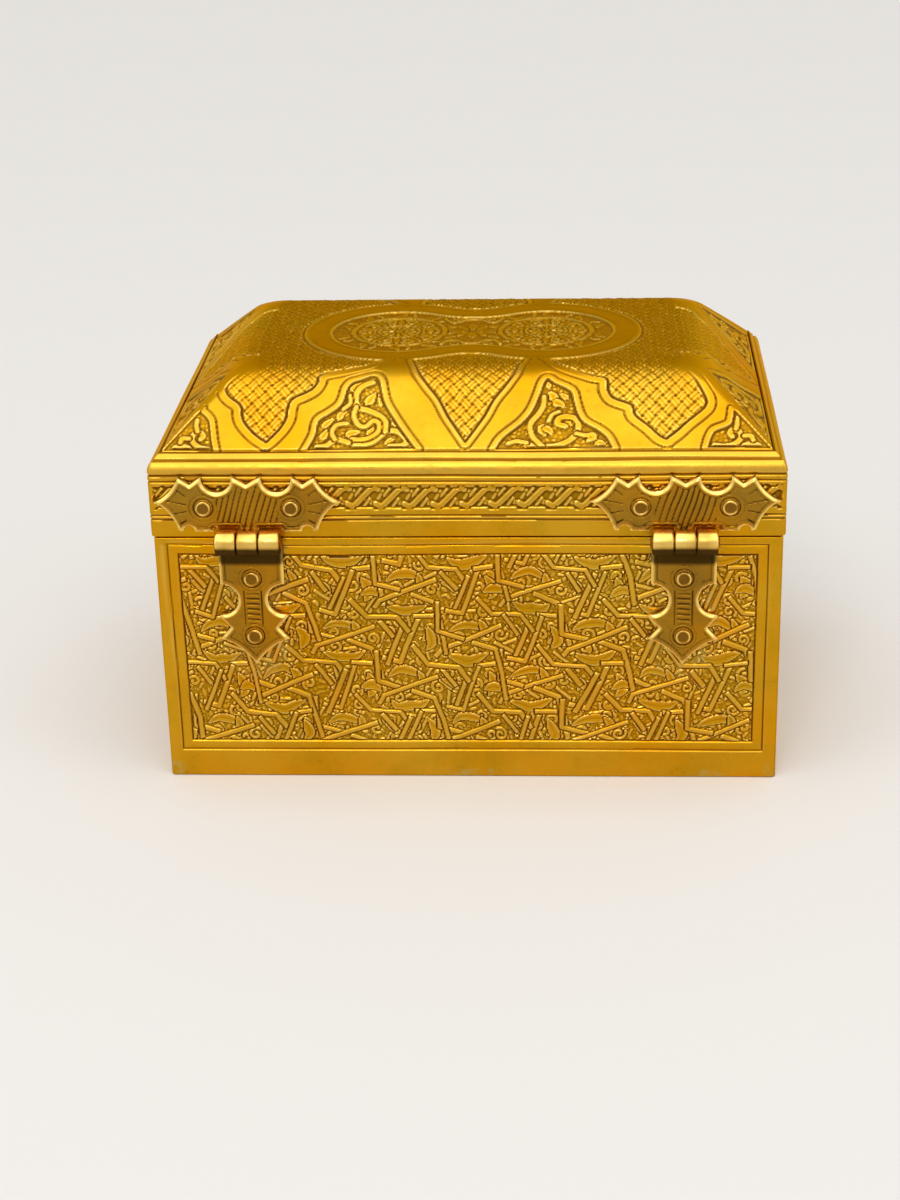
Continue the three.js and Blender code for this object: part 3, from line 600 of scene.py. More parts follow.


# Roughness, tarnish, and the colours of plain, warm and olive places, recesses and painted shade on and below
# the barrels, rubbed edges and a painted highlight along the lid's shoulder, and a painted shade over the
# lid's top
BRASS_KINDS = {
    "engraved_brass": (0.26, 0.5, [
        (0.81, 0.61, 0.13), (0.82, 0.55, 0.0), (0.66, 0.53, 0.08),
        (0.44, 0.30, 0.0), (1.0, 0.89, 0.52), (0.58, 0.40, 0.02),
    ]),
    "strap_brass": (0.3, 0.7, [
        (0.66, 0.49, 0.14), (0.68, 0.46, 0.07), (0.50, 0.40, 0.15),
        (0.27, 0.18, 0.04), (1.0, 0.85, 0.46), (0.45, 0.33, 0.12),
    ]),
    "rivet_brass": (0.24, 0.5, [
        (0.66, 0.48, 0.17), (0.68, 0.45, 0.09), (0.50, 0.39, 0.15),
        (0.27, 0.18, 0.05), (0.96, 0.80, 0.42), (0.45, 0.33, 0.12),
    ]),
    "plain_brass": (0.36, 0.8, [
        (0.80, 0.62, 0.26), (0.80, 0.57, 0.15), (0.50, 0.41, 0.18),
        (0.30, 0.21, 0.07), (0.95, 0.82, 0.46), (0.45, 0.33, 0.12),
    ]),
}
BRASS = {name: brass(name, *kind) for name, kind in BRASS_KINDS.items()}


# The four sides, each turned from the rear one


REAR = 0.0
FRONT = math.pi
# How dark the plain inner faces are
PLAIN_CAVITY = 0.3
SIDES = {"rear": REAR, "right": math.pi / 2, "front": FRONT, "left": -math.pi / 2}
BODY_HALVES = (BODY_HALF, BODY_DEPTH_HALF)
LID_HALVES = (LID_HALF, LID_DEPTH_HALF)


def to_world(turn, along, out, z):
    """Along a side to the right as seen from outside, outwards from the middle, and up."""
    x = along * math.cos(turn) + out * math.sin(turn)
    y = along * math.sin(turn) - out * math.cos(turn)
    return np.stack(np.broadcast_arrays(x, y, z), axis=-1)


def side_halves(side, half_length, half_depth):
    """Half the side's length, and its distance from the middle."""
    return (half_length, half_depth) if side in ("rear", "front") else (half_depth, half_length)


class Section:
    """A closed run of points round a bar's section, with the outward direction at each."""

    def __init__(self, points, outer_rows):
        self.points = np.asarray(points, float)
        ahead = np.roll(self.points, -1, axis=0) - np.roll(self.points, 1, axis=0)
        length = np.maximum(np.hypot(ahead[:, 0], ahead[:, 1]), 1e-9)
        # The run goes up the outer face, so outwards is to its right
        self.normals = np.column_stack([ahead[:, 1], ahead[:, 0]]) / length[:, None]
        self.outer_rows = outer_rows
        steps = np.hypot(*(np.roll(self.points, -1, axis=0) - self.points).T)
        weights = np.where(np.arange(len(self.points)) < outer_rows, 1.0, 0.25)
        run = np.concatenate([[0.0], np.cumsum(steps * weights)])
        self.share = run / run[-1]

    def outer_grid(self, columns):
        """Along the bar, in from its face, and up, for each sample of the outer face."""
        x, inset = np.meshgrid(columns, self.points[:self.outer_rows, 0])
        z = np.meshgrid(columns, self.points[:self.outer_rows, 1])[1]
        return x, inset, z


def sweep_side(side, halves, corner, section, columns, heights):
    """Vertices of a mitred bar whose outer face is displaced by heights[row, column]."""
    half, distance = side_halves(side, *halves)
    straight = half - corner
    reach = straight + corner * math.pi / 4
    inset = section.points[:, 0:1] - heights * section.normals[:, 0:1]
    z = section.points[:, 1:2] + heights * section.normals[:, 1:2]
    size = np.abs(columns)[None, :]
    sign = np.sign(columns)[None, :]
    turn = np.clip((size - straight) / corner, 0, math.pi / 4)
    radius = np.maximum(corner - inset, 0.02)
    rounded = section.points[:, 0:1] < 0.7 * corner
    bowed = sign * (np.minimum(size, straight) + radius * np.sin(turn))
    bowed_out = distance - corner + radius * np.cos(turn) - np.maximum(inset - corner, 0)
    spread = columns[None, :] / reach * (half - inset)
    along = np.where(rounded, bowed, spread)
    out = np.where(rounded, bowed_out, distance - inset)
    return to_world(SIDES[side], along, out, z).reshape(-1, 3)


def bar_piece(name, node, body, side, halves, corner, section, columns, relief, depth, rubbed_and_highlight=None):
    rows, count = len(section.points), len(columns)
    # The inner faces stay plain
    heights = np.zeros((rows, count))
    heights[:section.outer_rows] = relief
    vertices = sweep_side(side, halves, corner, section, columns, heights)
    faces = grid_faces(rows, count, wrap=True)
    first = np.arange(rows) * count
    caps = [first[None, :], (first + count - 1)[::-1][None, :]]
    across = (columns - columns[0]) / (columns[-1] - columns[0])
    r = np.repeat(np.arange(rows), count - 1)
    c = np.tile(np.arange(count - 1), rows)
    corner_uv = 0.01 + 0.98 * quad_uv(across[c], across[c + 1], section.share[r], section.share[r + 1])
    cap_uv = np.tile([[0.003, 0.003]], (2 * rows, 1))
    hollow_and_shade, edge = wear(heights, depth)
    hollow_and_shade[section.outer_rows:] = PLAIN_CAVITY
    edge[section.outer_rows:] = 0
    # Where given, a painted highlight is laid over the rows' rubbed edges
    if rubbed_and_highlight is not None:
        edge = np.maximum(edge, rubbed_and_highlight[:, None] * (1 - hollow_and_shade))
    attributes = {"hollow_and_shade": hollow_and_shade, "edge": edge}
    if side == "rear" and body == "casket":
        x, z = np.meshgrid(columns, section.points[:, 1])
        attributes["residue"] = pale_marks(x, z) * (np.arange(rows) < section.outer_rows)[:, None]
    mesh = make_mesh(name, vertices, [faces, *caps], attributes, np.vstack([corner_uv, cap_uv]))
    add_piece(name, mesh, body, "engraved_brass", node)


# Ornament of the walls: leaves and curls under crossing straps, on a staggered lattice


LATTICE = (22.4, 18.8)
LATTICE_ORIGIN = (-11.2, 33.4)
WALL_STRAPS = [
    [(-5.5, 0.2), (-4.5, 1.7), (5.6, 5.8)],
    [(-5.6, 10.6), (-5.5, 4.8), (-1.0, 3.5)],
    [(0.7, 3.0), (4.9, 1.3), (6.2, -3.2), (7.1, -8.8)],
    [(8.0, -1.7), (11.4, 6.6)],
    [(-9.8, 2.2), (-7.0, -1.3), (-1.6, -1.6), (0.4, -4.8)],
    [(1.2, -1.5), (5.0, -1.3)],
    [(2.1, -1.6), (-1.2, -10.4), (-4.2, -9.6)],
    [(6.4, 7.4), (9.0, 3.8)],
]
WALL_LEAVES = [
    ([(-3.4, 0.7), (-1.7, -0.2), (0.1, -0.4), (1.9, -0.1), (3.7, 0.9)], 1.0),
    ([(-3.4, 5.3), (-1.7, 6.5), (0.2, 6.8), (1.9, 6.2), (3.0, 5.1)], 0.8),
    ([(-7.6, 6.0), (-6.7, 4.3), (-6.6, 3.0), (-7.4, 1.7)], 0.95),
    ([(8.6, 3.0), (9.6, 3.9), (10.4, 4.4)], 0.6),
    ([(3.0, -6.4), (4.8, -5.6), (6.8, -6.6)], 0.85),
    ([(-4.4, -4.0), (-3.0, -4.6), (-1.9, -6.2)], 0.7),
    ([(-9.0, -2.6), (-8.4, -4.2), (-8.8, -5.6)], 0.7),
]
WALL_CURLS = [
    (-9.8, 4.6), (8.6, 0.6), (3.6, 3.6), (-3.9, -3.0), (-2.0, 2.0), (4.2, -3.4),
    (-8.8, -0.6), (1.6, 7.6), (-2.6, 8.4), (-6.2, -5.6), (9.6, -5.0), (1.2, -7.6),
]
CHIP_SIZE = (1.3, 0.6)
# Distance between samples of each panel
PANEL_GRID = {"rear": 0.17, "right": 0.2, "front": 0.2, "left": 0.2}
STROKE_SPACING = (1.5, 1.3)
TWIG_ANGLES = [0.45, 0.0, 1.15, 1.9, 2.5]


def small_strokes(relief, half, low, high, rng):
    """Short curved strokes of uneven height, one in each cell of a loose grid."""
    for u in np.arange(-half - 1, half + 1, STROKE_SPACING[0]):
        for v in np.arange(low - 1, high + 1, STROKE_SPACING[1]):
            middle = np.array([u, v]) + rng.uniform(-0.4, 0.4, 2)
            angle = rng.uniform(0, 2 * math.pi)
            way = rng.uniform(0.5, 0.95) * np.array([math.cos(angle), math.sin(angle)])
            bow = np.array([-way[1], way[0]]) * rng.uniform(-0.6, 0.6)
            width = drop_width(rng.uniform(0.24, 0.38), 0.1)
            line = curve([middle - way, middle + bow, middle + way], 3)
            relief.raise_line(line, width, rng.uniform(-0.26, -0.08), dome=0.09, moat=0.12, deep=0.78)


def thin_straps(relief, half, low, high, rng):
    """Thin straight lines that cross the ground every which way, below the broad straps."""
    for _ in range(int((high - low) * half / 5.5)):
        middle = rng.uniform((-half, low), (half, high))
        angle = rng.choice(TWIG_ANGLES) + rng.normal(0, 0.12)
        way = rng.uniform(1.1, 3.0) * np.array([math.cos(angle), math.sin(angle)])
        line = np.array([middle - way, middle + way])
        width, top = rng.uniform(0.19, 0.25), rng.uniform(-0.1, -0.02)
        relief.raise_line(line, width, top, dome=0.08, moat=0.13, square=True, deep=0.8)


def wall_ornament(relief, half, low, high, seed):
    rng = np.random.default_rng(seed)
    small_strokes(relief, half, low, high, rng)
    thin_straps(relief, half, low, high, rng)
    leaves, curls, straps = [], [], []
    period = np.array(LATTICE)
    shift = rng.uniform(-0.5, 0.5, 2) * period * (seed > 0)
    for row in range(-2, 4):
        for column in range(-6, 7):
            for half_step in (0, 0.5):
                origin = np.array(LATTICE_ORIGIN) + shift + period * (column + half_step, row - half_step)
                if abs(origin[0]) > half + 10 or not low - 11 < origin[1] < high + 11:
                    continue

                def moved(points, wander):
                    points = np.asarray(points, float) * rng.normal(1.0, 0.02, 2) + origin
                    return points + rng.uniform(-wander, wander, points.shape)

                for points, width in WALL_LEAVES:
                    leaves.append((curve(moved(points, 0.3)), width * rng.uniform(0.85, 1.1)))
                for centre in WALL_CURLS:
                    middle = moved([centre], 0.6)[0]
                    turn = rng.uniform(0, 2 * math.pi)
                    turns = rng.choice([-1, 1]) * rng.uniform(0.8, 1.3)
                    curls.append(spiral(middle, rng.uniform(0.9, 1.35), 0.3, turn, turns))
                straps += [moved(points, 0.2) for points in WALL_STRAPS]
    for line in curls:
        width, top = rng.uniform(0.2, 0.27), rng.uniform(-0.14, -0.06)
        relief.raise_line(line, width, top, dome=0.08, moat=0.14, deep=0.9)
    for line, width in leaves:
        relief.raise_line(line, leaf_width(width), -0.13, dome=-0.12, moat=0.15)
        relief.cut_line(line[2:-2], 0.18, 0.1)
    rng.shuffle(straps)
    for line in straps:
        width, top = rng.uniform(0.34, 0.44), rng.uniform(-0.06, 0.0)
        relief.raise_line(line, width, top, dome=0.16, moat=0.15, square=True, deep=0.9)


def frame_height(margin):
    """Border, groove and fillet round a panel. The margin is positive inside the panel."""
    middle = -FILLET - GROOVE / 2
    groove = -GROOVE_DEPTH * v_cut(margin - middle, GROOVE * 0.62) ** 0.7
    fillet = -FILLET_FALL * np.clip(np.abs(margin + FILLET / 2) / (FILLET / 2), 0, 1) ** 3
    fillet = np.where((margin > -FILLET) & (margin < 0), fillet, 0)
    panel = -FILLET_FALL - (PANEL_DEPTH - FILLET_FALL) * smooth(0, 0.22, margin)
    return np.where(margin < 0, groove + fillet, panel)


def wall_heights(side, section, columns):
    x, _, z = section.outer_grid(columns)
    seed = list(SIDES).index(side)
    panel_half = side_halves(side, *BODY_HALVES)[0] - PANEL_SIDE
    panel_top = BODY_TOP - PANEL_TOP
    wave = drift(x, z, 60, 0.12, 40 + seed)
    margin = np.minimum(panel_half - np.abs(x), np.minimum(z - PANEL_FOOT, panel_top - z)) + wave
    border = frame_height(margin)
    u = x + drift(x, z, 26, 0.25, 10 + seed)
    v = z + drift(x, z, 26, 0.25, 20 + seed)
    lean = drift(x, z, 9, 0.5, 35 + seed)
    filling = chips(u + lean, v - 2 * lean, CHIP_SIZE, 0.03, -0.8 * PANEL_DEPTH, 55 + seed, top=0.2)
    relief = Relief(u, v, -PANEL_DEPTH, filling)
    wall_ornament(relief, panel_half, PANEL_FOOT, panel_top, seed)
    inside = smooth(0.18, 0.4, margin)
    return border * (1 - inside) + relief.height * inside - skin_dip(x, z, 30 + seed)


# Worn places along the foot of the rear wall: middle, half width and half height
FOOT_MARKS = [(-54.4, 1.4, 1.6, 1.9), (0.5, 0.5, 4.4, 0.9), (43.0, 0.5, 3.4, 0.8), (54.6, 1.2, 1.4, 1.7)]


def pale_marks(x, z):
    """Old polish, dried in the relief round the body straps, and bare metal along the foot."""
    line = np.array([(HINGE_X, BODY_TOP - 2.0), (HINGE_X, LID_FOOT - BODY_STRAP["tip"] + 3.0)])
    distance, _ = nearest_on_line(line, np.abs(x).ravel(), z.ravel())
    patchy = 0.75 + drift(x, z, 4, 0.25, 36)
    marks = smooth(7.6, 4.2, distance).reshape(x.shape) * patchy
    for middle, level, half_width, half_height in FOOT_MARKS:
        away = np.hypot((x - middle) / half_width, (z - level) / half_height) + drift(x, z, 1.5, 0.25, 37)
        marks = np.maximum(marks, 1.3 * smooth(1.2, 0.6, away))
    return marks


def wall_section(fine):
    round_edge = 0.35
    foot = arc((round_edge, round_edge), round_edge, -math.pi / 2, -math.pi, 3)[:-1]
    top = arc((round_edge, BODY_TOP - round_edge), round_edge, math.pi, math.pi / 2, 3)[1:]
    panel_top = BODY_TOP - PANEL_TOP
    groove_low = PANEL_FOOT - FILLET - GROOVE
    groove_high = panel_top + FILLET + GROOVE
    face = graded(
        round_edge,
        (groove_low - 0.2, 0.8),
        (PANEL_FOOT - FILLET + 0.2, 0.12),
        (PANEL_FOOT - 0.3, 0.2),
        (PANEL_FOOT + 0.5, 0.13),
        (panel_top - 0.5, fine),
        (panel_top + 0.3, 0.13),
        (groove_high - GROOVE - 0.2, 0.2),
        (groove_high + 0.2, 0.12),
        (BODY_TOP - round_edge, 0.5),
    )
    outer = np.vstack([foot, np.column_stack([np.zeros(len(face)), face]), top])
    inner = [(WALL - 0.2, BODY_TOP)]
    inner += [(WALL, level) for level in (BODY_TOP - 0.2, 30.0, 15.0, 0.2)]
    inner.append((WALL - 0.2, 0.0))
    return Section(np.vstack([outer, inner]), len(outer))


def wall_columns(half, fine):
    panel = half - PANEL_SIDE
    groove = panel + FILLET
    straight = half - BODY_CORNER
    return mirrored(graded(
        0.0,
        (panel - 0.5, fine),
        (panel + 0.3, 0.13),
        (groove - 0.2, 0.2),
        (groove + GROOVE + 0.2, 0.12),
        (straight, 0.6),
        (straight + BODY_CORNER * math.pi / 4, 0.16),
    ))


for side in SIDES:
    fine = PANEL_GRID[side]
    section = wall_section(fine)
    columns = wall_columns(side_halves(side, *BODY_HALVES)[0], fine)
    bar_piece(
        f"chased_wall_{side}", f"body_wall_{side}", "casket", side, BODY_HALVES, BODY_CORNER,
        section, columns, wall_heights(side, section, columns), PANEL_DEPTH,
    )


# Rim of the lid: plain strip, two grooves, knot band, fillet, rounded shoulder


KNOT_LOW = LID_FOOT + 5.0
KNOT_HIGH = LID_FOOT + 9.7
KNOT_DEPTH = 0.4
KNOT_PERIOD = 10.0
RIM_GROOVES = [(3.1, 0.34, 0.3), (3.85, 0.34, 0.28), (10.1, 0.4, 0.26), (11.15, 0.5, 0.34)]


def knot_band(relief, half):
    """Bold strands that rise steeply over thinner falling ones, with small strokes and dashes between."""
    middle, swing = (KNOT_LOW + KNOT_HIGH) / 2, 1.72
    count = int(half / KNOT_PERIOD) + 2
    starts = [KNOT_PERIOD * place / 2 + 0.2 for place in range(-2 * count, 2 * count)]
    parts = [
        ([(3.3, 0.98), (4.5, 0.9), (9.3, -0.95), (10.0, -1)], 0.36, -0.12, False),
        ([(2.1, -1), (3.2, -0.1)], 0.2, -0.1, True),
        ([(0.5, 0.1), (1.7, 0.95)], 0.2, -0.1, True),
        ([(4.6, -0.15), (5.1, 0.3)], 0.22, -0.16, False),
        ([(-0.9, -0.7), (0, -1), (0.6, -0.8), (3.3, 0.85), (4.1, 1), (4.6, 0.85)], 0.44, -0.03, False),
    ]
    for points, width, top, square in parts:
        for start in starts:
            line = np.array(points) * (1, swing) + (start, middle)
            relief.raise_line(line, width, top, dome=0.09, moat=0.16, square=square)
            if width > 0.4:
                relief.cut_line(line[1:-1], 0.12, 0.08)
    dashes = [(KNOT_LOW + 0.2, 2.2, 1.5), (KNOT_HIGH - 0.2, 0.6, 0.75), (KNOT_HIGH - 0.2, 2.9, 0.6)]
    for start in starts:
        for level, shift, reach in dashes:
            dash = np.array([(start + shift - reach, level), (start + shift + reach, level)])
            relief.raise_line(dash, 0.2, -0.05, moat=0.12, square=True)


def rim_section():
    turn = math.pi / 2 - SLOPE_ANGLE
    tangent = SHOULDER_RADIUS * math.tan(turn / 2)
    arc_end = SHOULDER_RADIUS * (1 - math.cos(turn))
    round_edge = 0.3
    foot = arc((round_edge, LID_FOOT + round_edge), round_edge, -math.pi / 2, -math.pi, 3)[:-1]
    levels = ((2.9, 0.5), (4.4, 0.1), (4.9, 0.15), (9.8, 0.18), (11.5, 0.12), (RIM_HEIGHT - tangent, 0.15))
    face = LID_FOOT + graded(round_edge, *levels)
    shoulder = arc((SHOULDER_RADIUS, SHOULDER_Z - tangent), SHOULDER_RADIUS, math.pi, math.pi - turn, 7)[1:]
    inset = graded(arc_end, (0.85, 0.2), (1.4, 0.07), (JOINT_INSET, 0.12))[1:]
    slope = np.column_stack([inset, SHOULDER_Z + SLOPE * inset])
    outer = np.vstack([foot, np.column_stack([np.zeros(len(face)), face]), shoulder, slope])
    seat_in = JOINT_INSET + SEAT_WIDTH
    inner = [
        (JOINT_INSET, SEAT_Z),
        (seat_in, SEAT_Z),
        (seat_in, SEAT_Z - SEAT_THICKNESS),
        (WALL, SEAT_Z - 2 * SEAT_THICKNESS),
        (WALL, LID_FOOT + 0.2),
        (WALL - 0.2, LID_FOOT),
    ]
    return Section(np.vstack([outer, inner]), len(outer))


def rim_heights(side, section, columns):
    half = side_halves(side, *LID_HALVES)[0]
    x, inset, z = section.outer_grid(columns)
    seed = list(SIDES).index(side)
    level = z + drift(x, z, 50, 0.07, 60 + seed)
    height = np.zeros(z.shape)
    for place, width, depth in RIM_GROOVES:
        middle = LID_FOOT + place + width / 2
        height -= depth * round_cut(level - middle, 0.62 * width)
    relief = Relief(x, z + drift(x, z, 30, 0.12, 70 + seed), -KNOT_DEPTH)
    knot_band(relief, half)
    within = smooth(0, 0.25, level - KNOT_LOW) * smooth(0, 0.25, KNOT_HIGH - level)
    within *= smooth(0.6, 1.2, half - np.abs(x))
    height = height * (1 - within) + relief.height * within
    groove = inset + drift(x, z, 40, 0.05, 80 + seed)
    height -= 0.34 * round_cut(groove - 1.12, 0.26)
    height -= 0.16 * smooth(2.1, JOINT_INSET, inset)
    return height - skin_dip(x, z, 50 + seed)


def rim_columns(half):
    straight = half - LID_CORNER
    end = straight + LID_CORNER * math.pi / 4
    return mirrored(graded(0.0, (straight - 0.5, 0.2), (straight, 0.25), (end, 0.16)))


section = rim_section()
# A painted highlight along the band just under the lid's shoulder
rubbed_and_highlight = 0.2 * smooth(SHOULDER_Z - 2.3, SHOULDER_Z - 1.1, section.points[:, 1])
rubbed_and_highlight[section.outer_rows:] = 0
for side in SIDES:
    columns = rim_columns(side_halves(side, *LID_HALVES)[0])
    bar_piece(
        f"chased_rim_{side}", f"lid_rim_{side}", "lid", side, LID_HALVES, LID_CORNER,
        section, columns, rim_heights(side, section, columns), KNOT_DEPTH, rubbed_and_highlight,
    )


# Crown of the lid: hipped shell with a rounded crease, lobed fields and a medallion


FIELD_DEPTH = 0.4
ARC_END = SLOPE_INSET + CREASE_TANGENT
ARC_START = ARC_END - CREASE_RADIUS * math.sin(SLOPE_ANGLE)
RUN_START = ARC_START / math.cos(SLOPE_ANGLE)
RUN_END = RUN_START + CREASE_RADIUS * SLOPE_ANGLE


def crease_angle(inset):
    return np.arcsin(np.clip((ARC_END - inset) / CREASE_RADIUS, 0, math.sin(SLOPE_ANGLE)))


def crown_height(inset):
    """Height of the plain skin at a distance in from the lid's edge."""
    bowed = LID_TOP - CREASE_RADIUS + CREASE_RADIUS * np.cos(crease_angle(inset))
    return np.where(inset < ARC_START, SHOULDER_Z + SLOPE * inset, bowed)


def crown_run(inset):
    """Distance up the skin from the lid's edge."""
    bowed = RUN_START + CREASE_RADIUS * (SLOPE_ANGLE - crease_angle(inset))
    run = np.where(inset < ARC_START, inset / math.cos(SLOPE_ANGLE), bowed)
    return np.where(inset > ARC_END, RUN_END + inset - ARC_END, run)


def smooth_least(a, b, radius):
    blend = np.clip(0.5 + 0.5 * (b - a) / radius, 0, 1)
    return b * (1 - blend) + a * blend - radius * blend * (1 - blend)


LOBE_OFFSET = 13.6
LOBE_RADIUS = 12.4
WAIST_HALF = 8.6
MEDALLION_BAND = 5.2


def medallion_distance(x, y):
    """Distance out from the inner edge of the medallion's band, which has two lobes and a waist."""
    waist_radius = (LOBE_OFFSET**2 + WAIST_HALF**2 - LOBE_RADIUS**2) / (2 * (LOBE_RADIUS - WAIST_HALF))
    centre = WAIST_HALF + waist_radius
    x, y = np.abs(x), np.abs(y)
    lobe = np.hypot(x - LOBE_OFFSET, y) - LOBE_RADIUS
    waist = waist_radius - np.hypot(x, centre - y)
    at_waist = x * centre < LOBE_OFFSET * (centre - y)
    return np.where(at_waist, waist, lobe)


SPADE = [
    (0, 4.7), (1.9, 7.7), (3.5, 10.3), (5, 13.4), (7, 16.2), (8.5, 18.8), (9.1, 20.6), (9.6, 22.5), (10, 24),
    (10.5, 34), (0, 34),
]
CARTOUCHE_LEFT = [
    (34.8, 5.1), (33.5, 5.8), (31.5, 7.9), (29.3, 9.9), (28.9, 11.6), (28.1, 12.3), (25.6, 13.4),
    (24.6, 15.1), (24.4, 17.5), (22.2, 18.2), (19.3, 19.5), (17.4, 20.6), (15.8, 22), (14.4, 24.4),
    (12.4, 28), (10, 34), (10, 52),
]
CARTOUCHE_RIGHT = [
    (35.2, 5.4), (36.7, 6.6), (38.5, 8.4), (40.7, 10.3), (42, 11.7), (42.2, 13.2), (41.3, 15.4), (40.4, 17.3),
    (39.5, 19), (38.9, 21), (39.3, 24), (39.3, 52),
]
# The engraver drew the two cartouches by hand, and the one on the left has a waist on both of its sides
WAISTED_LEFT = [
    (34.8, 5.1), (33.4, 6.6), (32.2, 8.2), (31.4, 9.9), (31.2, 11.6), (30.9, 13.1), (30.1, 14.0),
    (28.4, 14.8), (26.9, 15.8), (26.1, 17.2), (26.0, 18.4), (24.6, 19.2), (22.0, 19.9), (19.4, 20.8),
    (17.2, 21.8), (15.4, 24), (12.4, 28), (10, 34), (10, 52),
]
WAISTED_RIGHT = [
    (35.2, 5.3), (36.5, 6.2), (37.9, 7.6), (39.1, 9.2), (39.6, 10.6), (39.7, 11.9), (40.3, 12.9),
    (41.5, 13.8), (42.4, 14.8), (42.7, 15.9), (42.3, 17.2), (41.3, 18.6), (40.3, 19.9), (39.5, 21.4),
    (39.3, 24), (39.3, 52),
]
SPANDREL = [
    (5, 3.6), (6.3, 5.8), (9.6, 8.8), (11.5, 11.4), (12.8, 14.7), (13.5, 16.9), (14.3, 18.0), (15.5, 16.9),
    (18.3, 15.2), (18.9, 13.2), (19.6, 10.6), (20.7, 8.8), (23, 7.3), (24.6, 5.8), (25.6, 3.6),
]
CORNER = [
    (41.9, 3.6), (42.5, 5.6), (43.3, 6.9), (45.2, 7.7), (46.2, 8.5), (46.6, 9.9), (47.4, 11), (53.0, 3.6),
]
STEEP_CORNER = [(43.9, 3.6), (44.4, 5.8), (44.8, 8.2), (45.2, 9.8), (46.6, 11.2), (47.4, 11.4), (53.0, 3.6)]
END_CARTOUCHE = [
    (0, 5.0), (2.2, 6.6), (4.6, 9.2), (6.4, 11.0), (6.9, 12.6), (9.2, 13.8), (10.4, 15.6), (10.8, 17.6),
    (12.4, 19.0), (14, 20.6), (14, 30), (0, 30),
]
END_SPANDREL = [
    (8.2, 3.8), (9.8, 6.2), (11.6, 8.0), (13.4, 10.4), (14.6, 12.8), (17.6, 15.0), (20.6, 17.0), (22.4, 15.6),
    (26.6, 10.2), (31.0, 3.8),
]
SPANDREL_STEMS = [
    ([(9.2, 5.2), (11, 4.5), (13, 4.1), (15.5, 4.2), (18, 5.2), (19.4, 7), (19.6, 8.5), (19, 9.6),
      (17.5, 10), (16.2, 9.6), (16.0, 8.6), (17.3, 8.1)], 0.34),
    ([(13.3, 4.2), (11.6, 6.2), (11.2, 8.6), (12.6, 10.6), (13.5, 12.4), (13.6, 14)], 0.3),
    ([(19.3, 6.6), (21, 6.2), (22.2, 6.4), (22.4, 5.6), (21.4, 5.2)], 0.26),
    ([(10.6, 4.9), (8.8, 5.2), (7.4, 4.8)], 0.26),
    ([(16.2, 11.0), (15.0, 10.4), (14.4, 9.2)], 0.22),
]
SPANDREL_LEAVES = [
    ([(15.4, 13.2), (15.2, 14.2), (14.4, 15.0)], 0.62),
    ([(15.2, 13.0), (16.4, 12.6), (17.2, 11.9)], 0.6),
    ([(13.4, 8.4), (13.3, 7.4), (13.8, 6.3)], 0.62),
    ([(13.6, 7.9), (14.6, 7.3), (15.0, 6.5)], 0.5),
    ([(17.8, 13.6), (17.0, 14.2), (16.4, 14.6)], 0.4),
    ([(14.5, 15.9), (14.4, 16.4), (14.2, 17.0)], 0.35),
    ([(22.6, 4.5), (23.4, 4.8), (24.2, 4.4)], 0.4),
    ([(17.0, 8.8), (17.9, 8.9), (18.3, 8.3)], 0.34),
]
# The left spandrel is broader and reaches higher, with a vine of its own
BROAD_SPANDREL = [
    (8.5, 3.6), (10.8, 7.0), (12.8, 10.3), (14.2, 13.0), (14.8, 15.4), (15.2, 17.4), (16.2, 18.6),
    (18.4, 17.7), (20.1, 17.0), (21.0, 15.8), (21.4, 14.1), (22.2, 12.3), (24.0, 10.8), (25.9, 9.4),
    (26.4, 6.7), (27.8, 3.6),
]
BROAD_STEMS = [
    ([(19.4, 4.7), (17.7, 4.7), (16.1, 5.1), (14.8, 6.3), (13.8, 7.2), (12.2, 7.2), (10.8, 6.3), (10.2, 5.1),
      (11.2, 4.3), (13.2, 4.2)], 0.34),
    ([(14.0, 7.2), (14.1, 9.2), (15.4, 10.5), (17.2, 11.4), (18.7, 11.9), (19.3, 13.3), (19.1, 15.2),
      (17.9, 16.4), (16.5, 17.0)], 0.34),
    ([(19.2, 12.1), (19.6, 10.4), (18.7, 8.5), (17.4, 8.2), (16.2, 9.3), (15.2, 8.8), (15.3, 7.1),
      (16.8, 5.9), (18.4, 5.6), (19.8, 5.7)], 0.28),
    ([(25.9, 4.3), (24.2, 4.5), (22.8, 5.7), (21.4, 5.4), (20.4, 5.0)], 0.32),
    ([(22.8, 5.7), (23.4, 7.1), (22.8, 8.4), (21.6, 8.8), (20.8, 8.8)], 0.26),
    ([(21.5, 11.7), (20.3, 12.9), (20.4, 14.4)], 0.22),
]
BROAD_LEAVES = [
    ([(17.4, 12.6), (16.7, 13.6), (15.9, 14.8)], 0.62),
    ([(20.8, 6.5), (19.8, 6.9), (18.5, 7.2)], 0.56),
    ([(17.1, 6.7), (16.5, 7.2), (16.1, 8.0)], 0.4),
    ([(20.2, 15.4), (19.5, 16.4), (18.2, 17.2)], 0.5),
    ([(25.4, 5.9), (24.7, 6.6), (24.4, 7.6)], 0.5),
    ([(22.3, 9.6), (21.9, 10.6), (21.0, 11.3)], 0.45),
    ([(25.0, 8.2), (24.2, 9.0), (23.2, 9.8)], 0.45),
    ([(12.4, 8.3), (12.5, 9.3), (13.1, 10.5)], 0.4),
    ([(14.9, 12.3), (15.0, 13.4), (15.3, 14.4)], 0.3),
    ([(12.6, 5.6), (13.3, 5.3), (14.0, 4.8)], 0.36),
]
CORNER_STEMS = [
    ([(43.2, 4.2), (44.8, 4.0), (46.6, 4.4), (47.8, 5.6), (47.6, 6.9), (46.6, 7.3), (45.9, 6.6),
      (46.3, 5.9)], 0.3),
    ([(47.0, 7.4), (47.3, 8.6), (47.2, 9.6)], 0.26),
    ([(48.4, 4.2), (49.8, 4.6), (50.8, 4.2)], 0.3),
    ([(48.4, 6.0), (49.6, 6.0), (49.9, 5.2)], 0.26),
]
